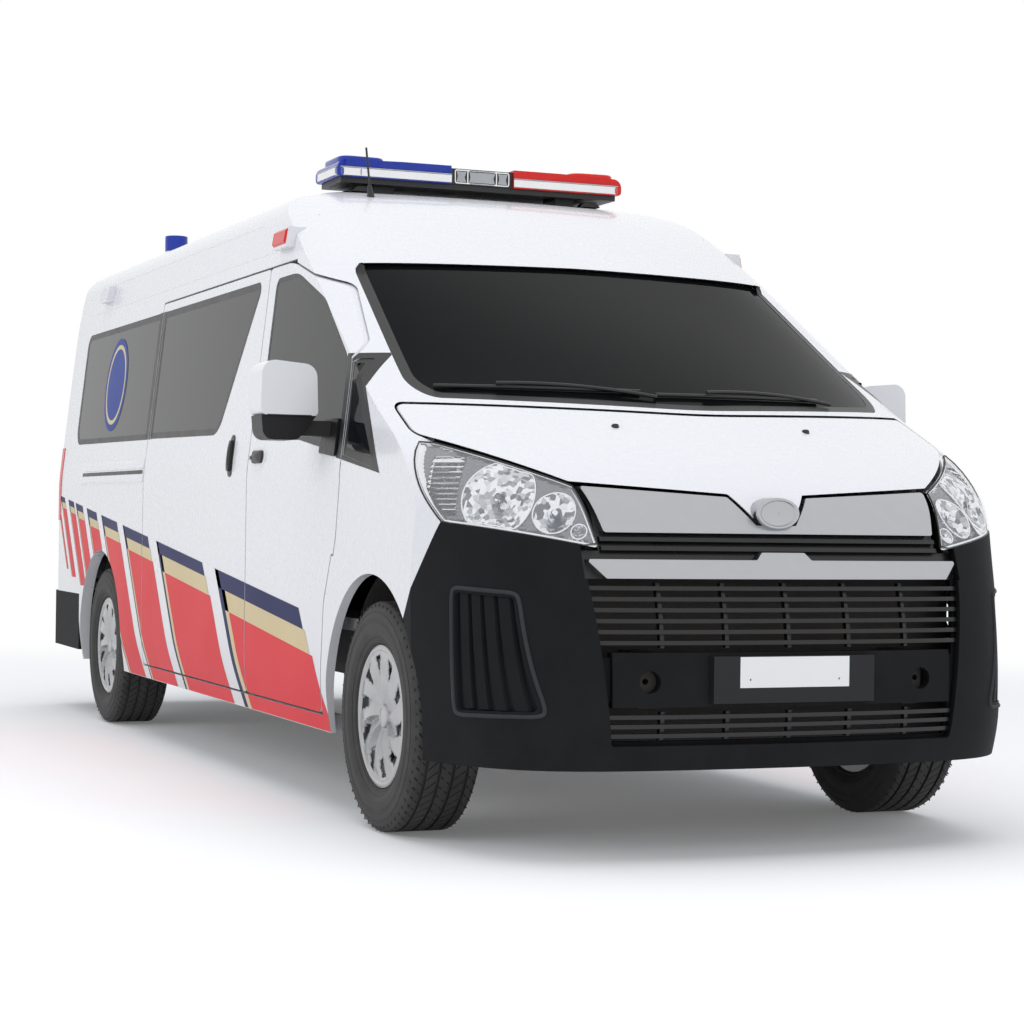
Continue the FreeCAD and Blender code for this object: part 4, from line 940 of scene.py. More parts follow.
def lamp_surround(side, word):
    """Satin panel between the bowls, set back from the lens and finely ribbed."""
    work = bmesh.new()
    table = {}
    for i in range(SURROUND_CELLS[0]):
        for k in range(SURROUND_CELLS[1]):
            u, z = SURROUND_FROM[0] + i * CELL, SURROUND_FROM[1] + k * CELL
            if is_surround(side, u, z):
                table[i, k] = work.verts.new(lamp_spot(side, u, z, 0.016 + 0.0025 * (k % 2)))
    for i, k in list(table):
        corners = [table.get(c) for c in ((i, k), (i + 1, k), (i + 1, k + 1), (i, k + 1))]
        if all(corners):
            work.faces.new(corners)
    from_bmesh("headlamp_surround_" + word, work, LAMP_GREY, sharp=25)


def lamp_bowls(side, word):
    """Faceted bowls that end at the lens, each with a small round bulb."""
    work = bmesh.new()
    out = lamp_out(side)
    for u, z, radius, depth in BOWLS:
        apex = lamp_spot(side, u, z, 0.012 + depth)
        sectors, bulb = (40, 0.011) if radius > SMALL_BOWL else (12, 0.006)
        rows = []
        for ring in (0.16, 0.36, 0.56, 0.78, 1.0):
            row = []
            for k in range(sectors):
                rim = rim_spot(side, u, z, radius, k * math.tau / sectors + (0.5 - ring) * 0.5, 0.011)
                high = (rim - apex).dot(out)
                row.append(apex + (rim - out * high - apex) * ring + out * high * ring ** 2)
            rows.append(row)
        add_grid(work, rows, across=True)
        bmesh.ops.create_uvsphere(work, u_segments=16, v_segments=10, radius=bulb,
                                  matrix=Matrix.Translation(apex + out * (0.008 + bulb)))
    from_bmesh("headlamp_bowls_" + word, work, PLATING_PAINTED_REFLECTION, sharp=4)


def lamp_rims(side, word):
    for number, (u, z, radius, _) in enumerate(BOWLS, 1):
        rim = [rim_spot(side, u, z, radius, k * math.tau / 56, 0.012) for k in range(56)]
        tube("headlamp_rim_%d_%s" % (number, word), [p for p in rim if p], 0.0026, CHROME, closed=True)


def indicator(side, word):
    """Louvres of the indicator, each a strip that leans back."""
    work = bmesh.new()
    u0, u1, z0, z1 = INDICATOR
    across = [u0 + (u1 - u0) * i / LOUVRE_CELLS for i in range(LOUVRE_CELLS + 1)]
    for louvre in range(LOUVRES):
        foot = z0 + (z1 - z0) * louvre / LOUVRES
        rows = [[lamp_spot(side, u, foot + up, sink) for u in across] for up, sink in LOUVRE]
        kept = [i for i in range(len(across)) if all(row[i] for row in rows)]
        if len(kept) > 1:
            add_grid(work, [[row[i] for i in kept] for row in rows])
    from_bmesh("indicator_louvres_" + word, work, CHROME, sharp=20)


def lens_gasket(side, word):
    """Thin black gasket round the lens, whose edge is found by halving from a point well inside."""
    u, z = 0.25, 1.03
    loop = []
    for c, s in circle(90):
        near, far = 0.0, 0.5
        for _ in range(12):
            half = (near + far) / 2
            near, far = (half, far) if lamp_spot(side, u + half * c, z + half * s) else (near, half)
        loop.append(lamp_spot(side, u + near * c, z + near * s, 0.001))
    tube("headlamp_gasket_" + word, [p for p in loop if p], 0.0028, SEAL, closed=True, smooth=False)


for side, word in SIDES:
    for make in (lamp_surround, lamp_bowls, lamp_rims, indicator, lens_gasket):
        make(side, word)
print("bowls per headlamp:", len(BOWLS))

# %% [markdown]
# ## Light bar
# Each half of the bar has a coloured cover, raised at its outer end, over a clear skirt.  Behind the
# skirt stands a row of small bright reflectors.  The module in the middle has two bright frames, one
# inside the other, and three pale slanted reflectors.

# %% Light bar
bar_low, bar_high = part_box("light_bar_blue")
base_low, base_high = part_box("light_bar_base")
BAR_OUT, BAR_IN = -bar_low.x, -bar_high.x
SKIRT = (bar_low.z + 0.002, bar_low.z + 0.036)
REFLECTOR = 0.026   # width of one reflector behind the skirt


def bar_outline(grow, end=0.045):
    """Half of the bar's plan, from the middle module round the end: (x, y)."""
    plan = rectangle(BAR_IN - 0.3, bar_low.y - grow, BAR_OUT + grow, bar_high.y + grow)
    return [p for p in rounded(plan, end, 6) if p[0] >= BAR_IN]


def pushed(p, by):
    """A point of the bar's plan moved outward."""
    away = Vector(p) - Vector((min(p[0], BAR_OUT - 0.13), (bar_low.y + bar_high.y) / 2))
    return Vector(p) + away.normalized() * by


def bar_cells():
    """Points round half of the bar, one reflector apart."""
    ring = [(BAR_IN, bar_low.y), *(p for p in bar_outline(0.0) if p[0] > BAR_IN + 0.02), (BAR_IN, bar_high.y)]
    cells = []
    for (x0, y0), (x1, y1) in zip(ring, ring[1:]):
        steps = max(1, round(math.hypot(x1 - x0, y1 - y0) / REFLECTOR))
        cells += [(x0 + (x1 - x0) * k / steps, y0 + (y1 - y0) * k / steps) for k in range(steps)]
    return cells + [ring[-1]]


def bar_skirt(side, word):
    """Clear skirt, and behind it a row of bright four-sided reflectors."""
    glass, bright = bmesh.new(), bmesh.new()
    low, high = SKIRT
    cells = bar_cells()
    profile = ((low, 0.003), (low + 0.004, 0.0075), (high - 0.004, 0.0075), (high, 0.003))
    add_grid(glass, [[(side * q.x, q.y, z) for q in (pushed(p, by) for p in cells)] for z, by in profile])
    for p, q in zip(cells, cells[1:]):
        a, b = pushed(p, 0.004), pushed(q, 0.004)
        middle = pushed(((p[0] + q[0]) / 2, (p[1] + q[1]) / 2), 0.0008)
        corners = [bright.verts.new((side * c.x, c.y, z)) for c, z in
                   ((a, low + 0.003), (b, low + 0.003), (b, high - 0.003), (a, high - 0.003))]
        tip = bright.verts.new((side * middle.x, middle.y, (low + high) / 2))
        for k in range(4):
            bright.faces.new((corners[k], corners[(k + 1) % 4], tip))
    from_bmesh("light_bar_reflectors_" + word, bright, CHROME, sharp=2)
    from_bmesh("light_bar_skirt_" + word, glass, CLEAR, sharp=40)


def bar_hump(side, word):
    """Raised outer part of the coloured cover."""
    work = bmesh.new()
    y0, y1 = bar_low.y + 0.016, bar_high.y - 0.016
    outer, inner = side * (BAR_OUT - 0.020), side * (BAR_OUT - 0.205)
    plan = rounded([(outer, y0), (inner, y0 + 0.01), (inner, y1 - 0.01), (outer, y1)], 0.05, 6)
    add_pad(work, lambda x, y: (Vector((x, y, bar_high.z)), Vector((0, 0, 1))), plan, 0.013, -0.012, 0.004)
    from_bmesh("light_bar_dome_" + word, work, BLUE_LENS if side == RIGHT else RED_LENS, sharp=60)


def bar_trim(side, word):
    """Parting line between cover and skirt, and the mounting feet."""
    gap = 0.0045
    ring = [(BAR_IN, bar_low.y - gap), *(p for p in bar_outline(gap) if p[0] > BAR_IN + 0.01),
            (BAR_IN, bar_high.y + gap)]
    seam = [(side * x, y, SKIRT[1]) for x, y in ring]
    tube("light_bar_seam_" + word, seam, 0.0022, SILVER, smooth=False)
    work = bmesh.new()
    foot, top = base_low.z - 0.001, base_low.z + 0.020
    for y in (base_low.y + 0.05, base_high.y - 0.05):
        plan = [(side * 0.43, foot), (side * 0.52, foot), (side * 0.50, top), (side * 0.45, top)]
        add_slab(work, rounded(plan, 0.006), y - 0.022, y + 0.022)
    from_bmesh("light_bar_foot_" + word, work, TRIM_BLACK, bevel=0.002)


def bar_centre():
    """Two bright frames and three pale reflectors on the front of the middle module."""
    face = base_low.y - 0.001
    z0, z1 = bar_low.z + 0.006, base_high.z - 0.006
    for number, half in ((1, 0.112), (2, 0.060)):
        loop = [(x, face - 0.001, z) for x, z in rounded(rectangle(-half, z0, half, z1), 0.008)]
        tube("centre_module_frame_%d" % number, loop, 0.0032, CHROME, closed=True, smooth=False)
    work = bmesh.new()
    for a, b in ((-0.106, -0.066), (-0.054, 0.054), (0.066, 0.106)):
        profile = ((0, 0.0005, z0 + 0.005), (0.006, 0, (z0 + z1) / 2), (0, 0.004, z1 - 0.005))
        rows = [[(x, face - proud, z) for x in (a + inset, b - inset)] for inset, proud, z in profile]
        add_grid(work, rows)
    from_bmesh("centre_module_reflectors", work, WHITE_LENS, sharp=20)


for side, word in SIDES:
    for make in (bar_skirt, bar_hump, bar_trim):
        make(side, word)
bar_centre()
print("light bar from x %.3f to %.3f m" % (-BAR_OUT, BAR_OUT))

# %% [markdown]
# ## Warning lamps and beacon
# The white housings on the roof's flanks get their lenses: a red one facing outward at the front and
# a clear one at the rear, each with vertical flutes.  The little beacon toward the rear of the roof
# wears a blue dome.

# %% Side warning lamps and beacon
warn_tree = ray_tree(["warning_lamps"])
LENS_HALF, FLUTES, LENS_ROWS = (0.078, 0.031), 24, 6
BEACON_AT = (-0.6, 4.0)   # x, and y from the front axle
DOME = [(-0.070, 0.0530), (-0.030, 0.0534), (-0.003, 0.0532), (0.0015, 0.0525), (0.0035, 0.047),
        (0.0045, 0.0)]   # offset up, radius


def fluted_lens(label, side, y, z, finish):
    """Fluted lens over the outward face of a lamp housing."""
    work = bmesh.new()
    rows = []
    for i in range(FLUTES + 1):
        row = []
        for k in range(LENS_ROWS + 1):
            across, up = LENS_HALF[0] * (2 * i / FLUTES - 1), LENS_HALF[1] * (2 * k / LENS_ROWS - 1)
            proud = -0.002 if i in (0, FLUTES) or k in (0, LENS_ROWS) else 0.006 + 0.0016 * (i % 2)
            row.append(on_side(y + across, z + up, side, warn_tree)[0] + Vector((side * proud, 0, 0)))
        rows.append(row)
    add_grid(work, rows)
    from_bmesh(label, work, finish, sharp=35)


for side, word in SIDES:
    fluted_lens("warning_lens_front_" + word, side, 1.230, 1.968, RED_LENS)
    fluted_lens("warning_lens_rear_" + word, side, 4.180, 2.013, WHITE_LENS)
beacon_top = on_top(*BEACON_AT, warn_tree)[0]
work = bmesh.new()
add_lathe(work, DOME, beacon_top, axis="z", steps=40)
from_bmesh("beacon_dome", work, BLUE_LENS, sharp=50)
print("beacon top at z %.3f m" % beacon_top.z)

# %% [markdown]
# ## Panes
# Every pane is bonded in, so it has a printed black border that hides the glue.  The border comes from
# the pane's own outward faces: it is their rim, inset by its width and lifted a hair off the glass.

# %% Printed borders
# pane, body, width of its border
PANES = [("windscreen", "body", 0.034), ("side_glass", "body", 0.026), ("tailgate_glass", "tailgate", 0.034)]
PANES += [("front_door_glass_" + word, "front_door_" + word, 0.016) for _, word in SIDES]
PRINT = 0.0005


def outward(face, name):
    """How squarely a face looks outward: forward, back or sideways, as the pane does."""
    if name == "windscreen":
        return (face.normal.z - face.normal.y) * 0.7
    if name == "tailgate_glass":
        return face.normal.y
    return face.normal.x * math.copysign(1, face.calc_center_median().x)


for name, body, width in PANES:
    work = bmesh.new()
    work.from_mesh(nodes[name].data)
    bmesh.ops.remove_doubles(work, verts=work.verts, dist=1e-5)
    bmesh.ops.delete(work, geom=[f for f in work.faces if outward(f, name) <= 0.25], context="FACES")
    rim = set(bmesh.ops.inset_region(work, faces=work.faces[:], thickness=width, use_even_offset=True,
                                     use_boundary=True)["faces"])
    bmesh.ops.delete(work, geom=[f for f in work.faces if f not in rim], context="FACES")
    work.normal_update()
    for vertex in work.verts:
        vertex.co += vertex.normal * PRINT
    from_bmesh(name + "_border", work, TRIM_BLACK, body)
print("borders on", len(PANES), "panes")

# %% [markdown]
# ## Nose
# A blank oval cap sits where the maker's sign would be, and a raised edge runs round the duct in each
# corner of the bumper.  Wipers park along the foot of the screen, and two washer jets on the bonnet
# point at it.

# %% Cap, jets, duct edges and wipers
CAP_Z, CAP_HALF = 0.998, (0.072, 0.046)
# share of the oval, and how far it stands out of the silver bar
CAP_RINGS = [(1.0, -0.050), (1.0, 0.004), (0.95, 0.009), (0.84, 0.010), (0.78, 0.006), (0.45, 0.009),
             (0.02, 0.010)]
JET = [(-0.004, 0.012), (0.004, 0.0115), (0.008, 0.008), (0.009, 0.0)]   # offset up, radius
JET_X, JET_Y = 0.33, -0.39
DUCT_CORNERS = [(-0.548, 0.774), (-0.748, 0.763), (-0.828, 0.419), (-0.578, 0.410)]   # y from axle, z
DUCT_SHARES = (0.05, 0.28, 0.5, 0.72, 0.95)   # points along each of its edges
DUCT_EDGE = grained_plastic("duct_edge", (0.030, 0.031, 0.034), (0.060, 0.062, 0.066))
SLOT_OF[DUCT_EDGE] = SLOT_OF[BUMPER]
bar_tree, screen_tree = ray_tree(["grille_bars", "grille", "bonnet"]), ray_tree(["windscreen"])


def on_front(x, z, tree):
    return tree.ray_cast(Vector((x, -5, z)), Vector((0, 1, 0)))[:2]


work = bmesh.new()
cap_y = on_front(0, 0.96, bar_tree)[0].y - 0.004
add_grid(work, [[Vector((CAP_HALF[0] * c * share, cap_y - proud, CAP_Z + CAP_HALF[1] * s * share))
                 for c, s in circle(40)] for share, proud in CAP_RINGS], across=True)
from_bmesh("nose_cap", work, SILVER, sharp=30)
for side, word in SIDES:
    points = []
    for (y0, z0), (y1, z1) in zip(DUCT_CORNERS, DUCT_CORNERS[1:] + DUCT_CORNERS[:1]):
        points += [on_side(y0 + (y1 - y0) * t, z0 + (z1 - z0) * t, side)[0] for t in DUCT_SHARES]
    tube("duct_rim_" + word, points, 0.0065, DUCT_EDGE, closed=True)
for side, word in SIDES:
    work = bmesh.new()
    add_lathe(work, JET, on_top(side * JET_X, JET_Y)[0], axis="z", steps=20)
    from_bmesh("washer_jet_" + word, work, TRIM_BLACK, "bonnet")


def on_screen(x, z, lift):
    spot, normal = on_front(x, z, screen_tree)
    return spot + normal * lift


PIVOT_Z = 1.348


def wiper(label, pivot_x, tip_x, z0, z1):
    """Arm from its pivot and a blade that lies on the glass."""
    middle = on_screen((pivot_x + tip_x) / 2, (z0 + z1) / 2 + 0.01, 0.026)
    tube(label + "_arm", [on_screen(pivot_x, PIVOT_Z, 0.012), middle, on_screen(tip_x, z1, 0.022)], 0.0062,
         TRIM_BLACK)
    blade = []
    for t in (0, 0.2, 0.4, 0.6, 0.8, 1):
        share = t * 1.28 - 0.36   # from beyond the tip back toward the pivot
        blade.append(on_screen(tip_x + (pivot_x - tip_x) * share, z1 + (z0 - z1) * share * 0.5, 0.009))
    tube(label + "_blade", blade, 0.0065, TRIM_BLACK)


wiper("wiper_right", -0.12, -0.60, 1.362, 1.374)
wiper("wiper_left", 0.55, 0.06, 1.366, 1.360)
print("cap at y %.3f m" % cap_y)

# %% [markdown]
# ## Black film and the badge
# Between the panes the pillars are covered in black film, so that each side reads as one dark band.
# The rear pane carries a plain roundel of film, a blue disc with a cream ring, which stands for a
# service's own badge and copies none.  Each sheet lies a hair above the one below it.

# %% Black film and badge
PILLAR_FILM = [[(2.965, 1.288), (3.075, 1.288), (3.075, 1.838), (2.965, 1.838)]]
FRONT_FILM = [[(-0.075, 1.106), (0.372, 1.162), (0.372, 1.500), (0.248, 1.500)]]
BADGE_AT = (3.80, 1.562)   # middle of the rear pane
BADGE = [("blue", BLUE, 0.215, 0.0012), ("cream", CREAM, 0.185, 0.0016), ("centre", BLUE, 0.165, 0.0020)]
for side, word in SIDES:
    door = "front_door_" + word
    for label, body, panels, sheet in (("pillar", "body", WALLS[side], PILLAR_FILM),
                                       ("quarter", "body", ["windscreen_frame", "front_wings"], FRONT_FILM),
                                       ("door_corner", door, [door], FRONT_FILM)):
        apply_film("%s_film_%s" % (label, word), TRIM_BLACK, body, panels, sheet, side)
for name, finish, radius, lift in BADGE:
    disc = [(BADGE_AT[0] + radius * c, BADGE_AT[1] + radius * s) for c, s in circle(64)]
    apply_film("badge_" + name, finish, "body", ["side_glass"], [disc], RIGHT, lift)
print("badge centre at", BADGE_AT)

# %% [markdown]
# ## Handles, rail and mirrors
# The front doors have a flat cup handle, the sliding door a tall one at its front edge, and its rail
# runs in a covered groove behind it.  Each follows the panel's curve, found by casting rays.

# %% Handles and rail


def pad(label, find, body, corners, lift, finish, crown, corner):
    """A raised plate over a rectangle in find's two coordinates, with rounded corners."""
    work = bmesh.new()
    add_pad(work, find, rounded(rectangle(*corners), corner, 5), lift, crown=crown)
    from_bmesh(label, work, finish, body, sharp=40)


# label, corners as y from the front axle and z, height, finish, crown, corner radius
DOOR_PADS = [("door_cup_", (1.190, 1.135, 1.345, 1.225), 0.0016, WHITE, 0.0, 0.042),
             ("door_handle_", (1.205, 1.157, 1.335, 1.203), 0.010, TRIM_BLACK, 0.010, 0.023),
             ("door_lock_", (1.312, 1.168, 1.328, 1.184), 0.021, SILVER, 0.001, 0.008)]
RIGHT_PADS = [("slide_handle_seat", (1.612, 1.112, 1.668, 1.270), 0.003, TRIM_BLACK, 0.0, 0.026),
              ("slide_handle", (1.624, 1.132, 1.656, 1.250), 0.013, TRIM_BLACK, 0.006, 0.014),
              ("rail_cover", (3.035, 1.105, 4.330, 1.205), 0.0040, WHITE, 0.0, 0.020),
              ("rail_groove", (3.040, 1.140, 4.285, 1.157), 0.0046, TRIM_BLACK, 0.0, 0.006)]
FUEL_FLAP = ("fuel_flap", (1.62, 0.86, 1.80, 1.03), 0.0026, WHITE, 0.0, 0.030)
for side, word in SIDES:
    for label, *facts in DOOR_PADS:
        pad(label + word, lambda y, z: on_side(y, z, side), "front_door_" + word, *facts)
for facts in RIGHT_PADS:
    pad(facts[0], lambda y, z: on_side(y, z, RIGHT), "body", *facts[1:])
pad(FUEL_FLAP[0], lambda y, z: on_side(y, z, LEFT), "body", *FUEL_FLAP[1:])
lip = [on_side(y / 100, 1.166, RIGHT)[0] + Vector((-0.005, 0, 0)) for y in range(304, 430, 9)]
tube("rail_lip", lip, 0.0028, WHITE)
for side, word in SIDES:
    for name, z in (("gutter", 2.055), ("roof_crease", 1.935)):
        line = [on_side(y / 10, z, side)[0] - Vector((side * 0.0015, 0, 0)) for y in range(12, 48, 3)]
        tube(name + "_" + word, line, 0.0032, WHITE)
print("handles are on")

# %% Mirror glass and seams
MIRROR_OUTLINE = [(1.034, 1.312), (1.188, 1.312), (1.184, 1.458), (1.036, 1.450)]   # distance to the side, z


def door_mirror(side, word):
    """Glass on the rear face, and the seam between the shell and its foot."""
    low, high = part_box("mirror_" + word)
    tree = ray_tree(["mirror_" + word])

    def find(x, z):
        return tree.ray_cast(Vector((x, high.y + 1, z)), Vector((0, -1, 0)))[0], Vector((0, 1, 0))

    work = bmesh.new()
    add_pad(work, find, rounded([(side * x, z) for x, z in MIRROR_OUTLINE], 0.022, 5), 0.0016)
    from_bmesh("mirror_glass_" + word, work, CHROME, "front_door_" + word, sharp=40)
    middle = Vector(((low.x + high.x) / 2 + side * 0.03, (low.y + high.y) / 2, MIRROR_SEAM))
    seam = []
    for c, s in circle(48):
        ray = Vector((c, s, 0))
        hit = tree.ray_cast(middle + ray * 0.6, -ray)[0]
        if hit and abs(hit.x) > 1.0:
            seam.append(hit - ray * 0.0012)
    tube("mirror_seam_" + word, seam, 0.0022, TRIM_BLACK, "front_door_" + word, smooth=False)


for side, word in SIDES:
    door_mirror(side, word)
print("mirrors have glass")

# %% [markdown]
# ## Rear
# The tailgate has a handle in a trim bar, a wiper and a high stop lamp.  Each tail lamp carries two
# round cells and a pale reversing cell.  The bumper's top is a step, ribbed so that a boot holds on
# it.

# %% Tailgate fittings and tail lamps
TAIL_CELL = [(-0.004, 0.042), (0.003, 0.042), (0.005, 0.038), (0.002, 0.033), (0.004, 0.018), (0.005, 0.0)]
# label, corners in x and z, height, finish, crown, corner radius
TAILGATE_PADS = [("tailgate_bar", (-0.36, 1.110, 0.36, 1.170), 0.016, WHITE, 0.004, 0.022),
                 ("tailgate_handle", (-0.075, 1.102, 0.075, 1.124), 0.022, TRIM_BLACK, 0.002, 0.01),
                 ("high_stop_lamp", (-0.15, 1.905, 0.15, 1.935), 0.010, RED_LENS, 0.002, 0.012),
                 ("rear_wiper_hub", (-0.026, 1.236, 0.026, 1.288), 0.020, TRIM_BLACK, 0.004, 0.024)]
for label, *facts in TAILGATE_PADS:
    pad(label, on_rear, "tailgate", *facts)
arm = [on_rear(x, z)[0] + Vector((0, 0.016, 0)) for x, z in ((0.0, 1.262), (-0.16, 1.33), (-0.33, 1.375))]
tube("rear_wiper_arm", arm, 0.006, TRIM_BLACK, "tailgate")
blade = [on_rear(-0.50 + 0.35 * k / 4, 1.352 + 0.055 * k / 4)[0] + Vector((0, 0.008, 0)) for k in range(5)]
tube("rear_wiper_blade", blade, 0.006, TRIM_BLACK, "tailgate")
for side, word in SIDES:
    for number, z, finish in ((1, 1.215, RED_LENS), (2, 1.115, AMBER_LENS)):
        work = bmesh.new()
        add_lathe(work, TAIL_CELL, on_rear(side * 0.890, z)[0], axis="y", steps=36)
        from_bmesh("tail_cell_%d_%s" % (number, word), work, finish, sharp=50)
    corners = (side * 0.860, 0.985, side * 0.925, 1.045)
    pad("reversing_cell_" + word, on_rear, "body", corners, 0.003, WHITE_LENS, 0.0, 0.012)
print("rear fittings are on")

# %% Ribbed step
STEP_HALF, STEP_RIBS, RIB_PITCH = 0.78, 9, 0.0075
RIB = [(-0.0022, -0.001), (-0.0012, 0.0022), (0.0012, 0.0022), (0.0022, -0.001)]   # offset in y, height
work = bmesh.new()
step_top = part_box("rear_bumper")[1]
step_tree = ray_tree(["rear_bumper"])
for k in range(STEP_RIBS):
    y = step_top.y - 0.018 - k * RIB_PITCH
    found = [on_top(STEP_HALF * (i / 6 - 1), y - AXLE_F, step_tree)[0] for i in range(13)]
    spots = [spot for spot in found if spot and spot.z > step_top.z - 0.02]
    if len(spots) > 1:
        add_grid(work, [[spot + Vector((0, along, up)) for spot in spots] for along, up in RIB])
from_bmesh("step_ribs", work, TRIM_BLACK, sharp=30)
print("step at z %.3f m" % step_top.z)

# %% [markdown]
# ## Seats and mattress
# The soft parts start from their plain CAD solids.  Each is remeshed into even cells and inflated
# as a cloth bag: gas pressure pushes the cover out, and its own stretch holds it in, which gives the
# swelling faces and the creases at the edges that foam under a cover has.  The cells are coarse,
# which keeps the covers light and quick to make.

# %% Soft covers from inflated cloth


def loose_parts(mesh):
    """The separate solids of a mesh, each as a bmesh."""
    whole = bmesh.new()
    whole.from_mesh(mesh)
    bmesh.ops.remove_doubles(whole, verts=whole.verts, dist=1e-5)
    whole.verts.ensure_lookup_table()
    left, parts = set(range(len(whole.verts))), []
    while left:
        reach = [whole.verts[next(iter(left))]]
        group = set()
        while reach:
            vertex = reach.pop()
            if vertex.index in group:
                continue
            group.add(vertex.index)
            reach += [edge.other_vert(vertex) for edge in vertex.link_edges]
        left -= group
        part = whole.copy()
        part.verts.ensure_lookup_table()
        bmesh.ops.delete(part, geom=[v for v in part.verts if v.index not in group], context="VERTS")
        parts.append(part)
    whole.free()
    return parts


def apply_all(piece):
    """Turn what the modifiers make into the piece's own mesh."""
    made = bpy.data.meshes.new_from_object(piece.evaluated_get(bpy.context.evaluated_depsgraph_get()))
    piece.modifiers.clear()
    piece.data = made


PRESSURE, STIFFNESS, BLOW_FRAMES = 4.0, 15, 20


def blow_up(piece):
    """Run the cloth simulation with gas inside, and keep its last frame as the mesh."""
    cloth = piece.modifiers.new("cover", "CLOTH")
    settings = cloth.settings
    settings.quality, settings.mass, settings.bending_stiffness = 6, 0.3, 0.6
    settings.use_pressure, settings.uniform_pressure_force = True, PRESSURE
    settings.tension_stiffness = settings.compression_stiffness = settings.shear_stiffness = STIFFNESS
    settings.effector_weights.gravity = 0
    cloth.collision_settings.use_collision = False
    scene = bpy.context.scene
    cloth.point_cache.frame_start, cloth.point_cache.frame_end = 1, BLOW_FRAMES
    for number in range(1, BLOW_FRAMES + 1):
        scene.frame_set(number)
    apply_all(piece)
    scene.frame_set(1)


def inflated(label, work, cell, cap, finish):
    """A cushion's cover, blown up from a closed solid by at most cap metres."""
    mesh = bpy.data.meshes.new(label)
    work.to_mesh(mesh)
    work.free()
    piece = bpy.data.objects.new(label, mesh)
    bpy.context.scene.collection.objects.link(piece)
    cells = piece.modifiers.new("cells", "REMESH")
    cells.mode, cells.voxel_size = "VOXEL", cell
    apply_all(piece)
    start = [v.co.copy() for v in piece.data.vertices]
    blow_up(piece)
    for vertex, home in zip(piece.data.vertices, start):
        move = vertex.co - home
        if move.length > cap:
            vertex.co = home + move.normalized() * cap
    smooth = piece.modifiers.new("subdivision", "SUBSURF")
    smooth.levels = smooth.render_levels = 1
    piece.data.shade_smooth()
    seat(piece, finish, "body")
    return piece


def shrunk(work, by):
    """Move every vertex toward the middle along each axis, to leave room for the swelling."""
    middle = sum((v.co for v in work.verts), Vector()) / len(work.verts)
    for vertex in work.verts:
        for k in range(3):
            offset = vertex.co[k] - middle[k]
            vertex.co[k] -= math.copysign(min(by, abs(offset)), offset)
    return work


# how far a solid is drawn in first, the size of its cells and how far it may swell
SEAT_COVER, BED_COVER = (0.010, 0.016, 0.022), (0.006, 0.014, 0.012)
seat_covers = []
for number, part in enumerate(loose_parts(nodes["cab_seats"].data), 1):
    room, cell, cap = SEAT_COVER
    seat_covers.append(inflated("seat_cushion_%d" % number, shrunk(part, room), cell, cap, CLOTH))
for cover in seat_covers:
    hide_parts("cab_seats")
room, cell, cap = BED_COVER
block = shrunk(loose_parts(nodes["stretcher_mattress"].data)[0], room)
bed = inflated("mattress", block, cell, cap, MATTRESS)
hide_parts("stretcher_mattress")
print("soft covers:", len(seat_covers) + 1)

# %% [markdown]
# ## Cab fittings
# Through the screen one sees the interior mirror, the instrument hood, the screen in the dashboard
# and the steering wheel's pad; through the side panes, the grab rails and the ceiling lamps.

# %% Cab and ceiling fittings
glass_top = on_screen(0.0, 1.80, 0.0)
hub = sum(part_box("steering_wheel"), Vector()) / 2
dash_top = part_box("dashboard")[1].z
PAD = [(0.030, 0.0), (0.034, 0.030), (0.030, 0.062), (0.016, 0.074), (0.0, 0.078)]   # height, radius
PAD_AT, PAD_LEAN = Vector((hub.x, AXLE_F + 0.640, 1.225)), math.radians(-62)
RAIL_X, RAIL_Z = 0.45, 2.02
RAIL = [(1.75, 0.06), (1.82, 0.0), (2.6, 0.0), (3.6, 0.0), (3.9, 0.0), (3.97, 0.06)]   # y from the axle, rise
LAMP_Y, LAMP_PITCH, LAMP_Z = AXLE_F + 1.95, 0.85, (2.055, 2.080)


def slab(label, outline, corner, low, high, finish, bevel, steps=5):
    """A plate upright across the van, with rounded corners; outline in x and z."""
    work = bmesh.new()
    add_slab(work, rounded(outline, corner, steps), low, high)
    from_bmesh(label, work, finish, bevel=bevel)


stem = [glass_top + Vector((0, back, -down)) for back, down in ((0.034, 0), (0.060, 0.025), (0.085, 0.040))]
tube("interior_mirror_stem", stem, 0.008, TRIM_BLACK)
mirror = glass_top + Vector((0, 0.090, -0.050))
slab("interior_mirror", rectangle(-0.115, mirror.z - 0.034, 0.115, mirror.z + 0.034), 0.030,
     mirror.y - 0.010, mirror.y + 0.010, TRIM_BLACK, 0.004)
work = bmesh.new()
add_lathe(work, PAD, (0, 0, 0), axis="z", steps=40)
bmesh.ops.transform(work, matrix=Matrix.Translation(PAD_AT) @ Matrix.Rotation(PAD_LEAN, 4, "X") @
                    Matrix.Rotation(math.pi, 4, "Z"), verts=work.verts)
from_bmesh("steering_pad", work, CABIN_PLASTIC, sharp=40)
slab("instrument_hood", [(hub.x - 0.19, dash_top - 0.03), (hub.x + 0.19, dash_top - 0.03),
                         (hub.x + 0.14, dash_top + 0.035), (hub.x - 0.14, dash_top + 0.035)], 0.05,
     AXLE_F + 0.20, AXLE_F + 0.42, CABIN_PLASTIC, 0.006)
slab("centre_console_screen", rectangle(-0.15, dash_top - 0.11, 0.12, dash_top + 0.02), 0.015,
     AXLE_F + 0.38, AXLE_F + 0.425, GRILLE_BLACK, 0.003, 4)
for number, x in ((1, -RAIL_X), (2, RAIL_X)):
    tube("ceiling_rail_%d" % number, [(x, AXLE_F + y, RAIL_Z + rise) for y, rise in RAIL], 0.012, ALUMINIUM)
work = bmesh.new()
for k in range(3):
    y = LAMP_Y + LAMP_PITCH * k
    add_slab(work, rounded(rectangle(-0.12, y, 0.12, y + 0.30), 0.04), *LAMP_Z, axis="z")
from_bmesh("ceiling_lamps", work, WHITE_LENS, bevel=0.004)
print("cab fittings are in")

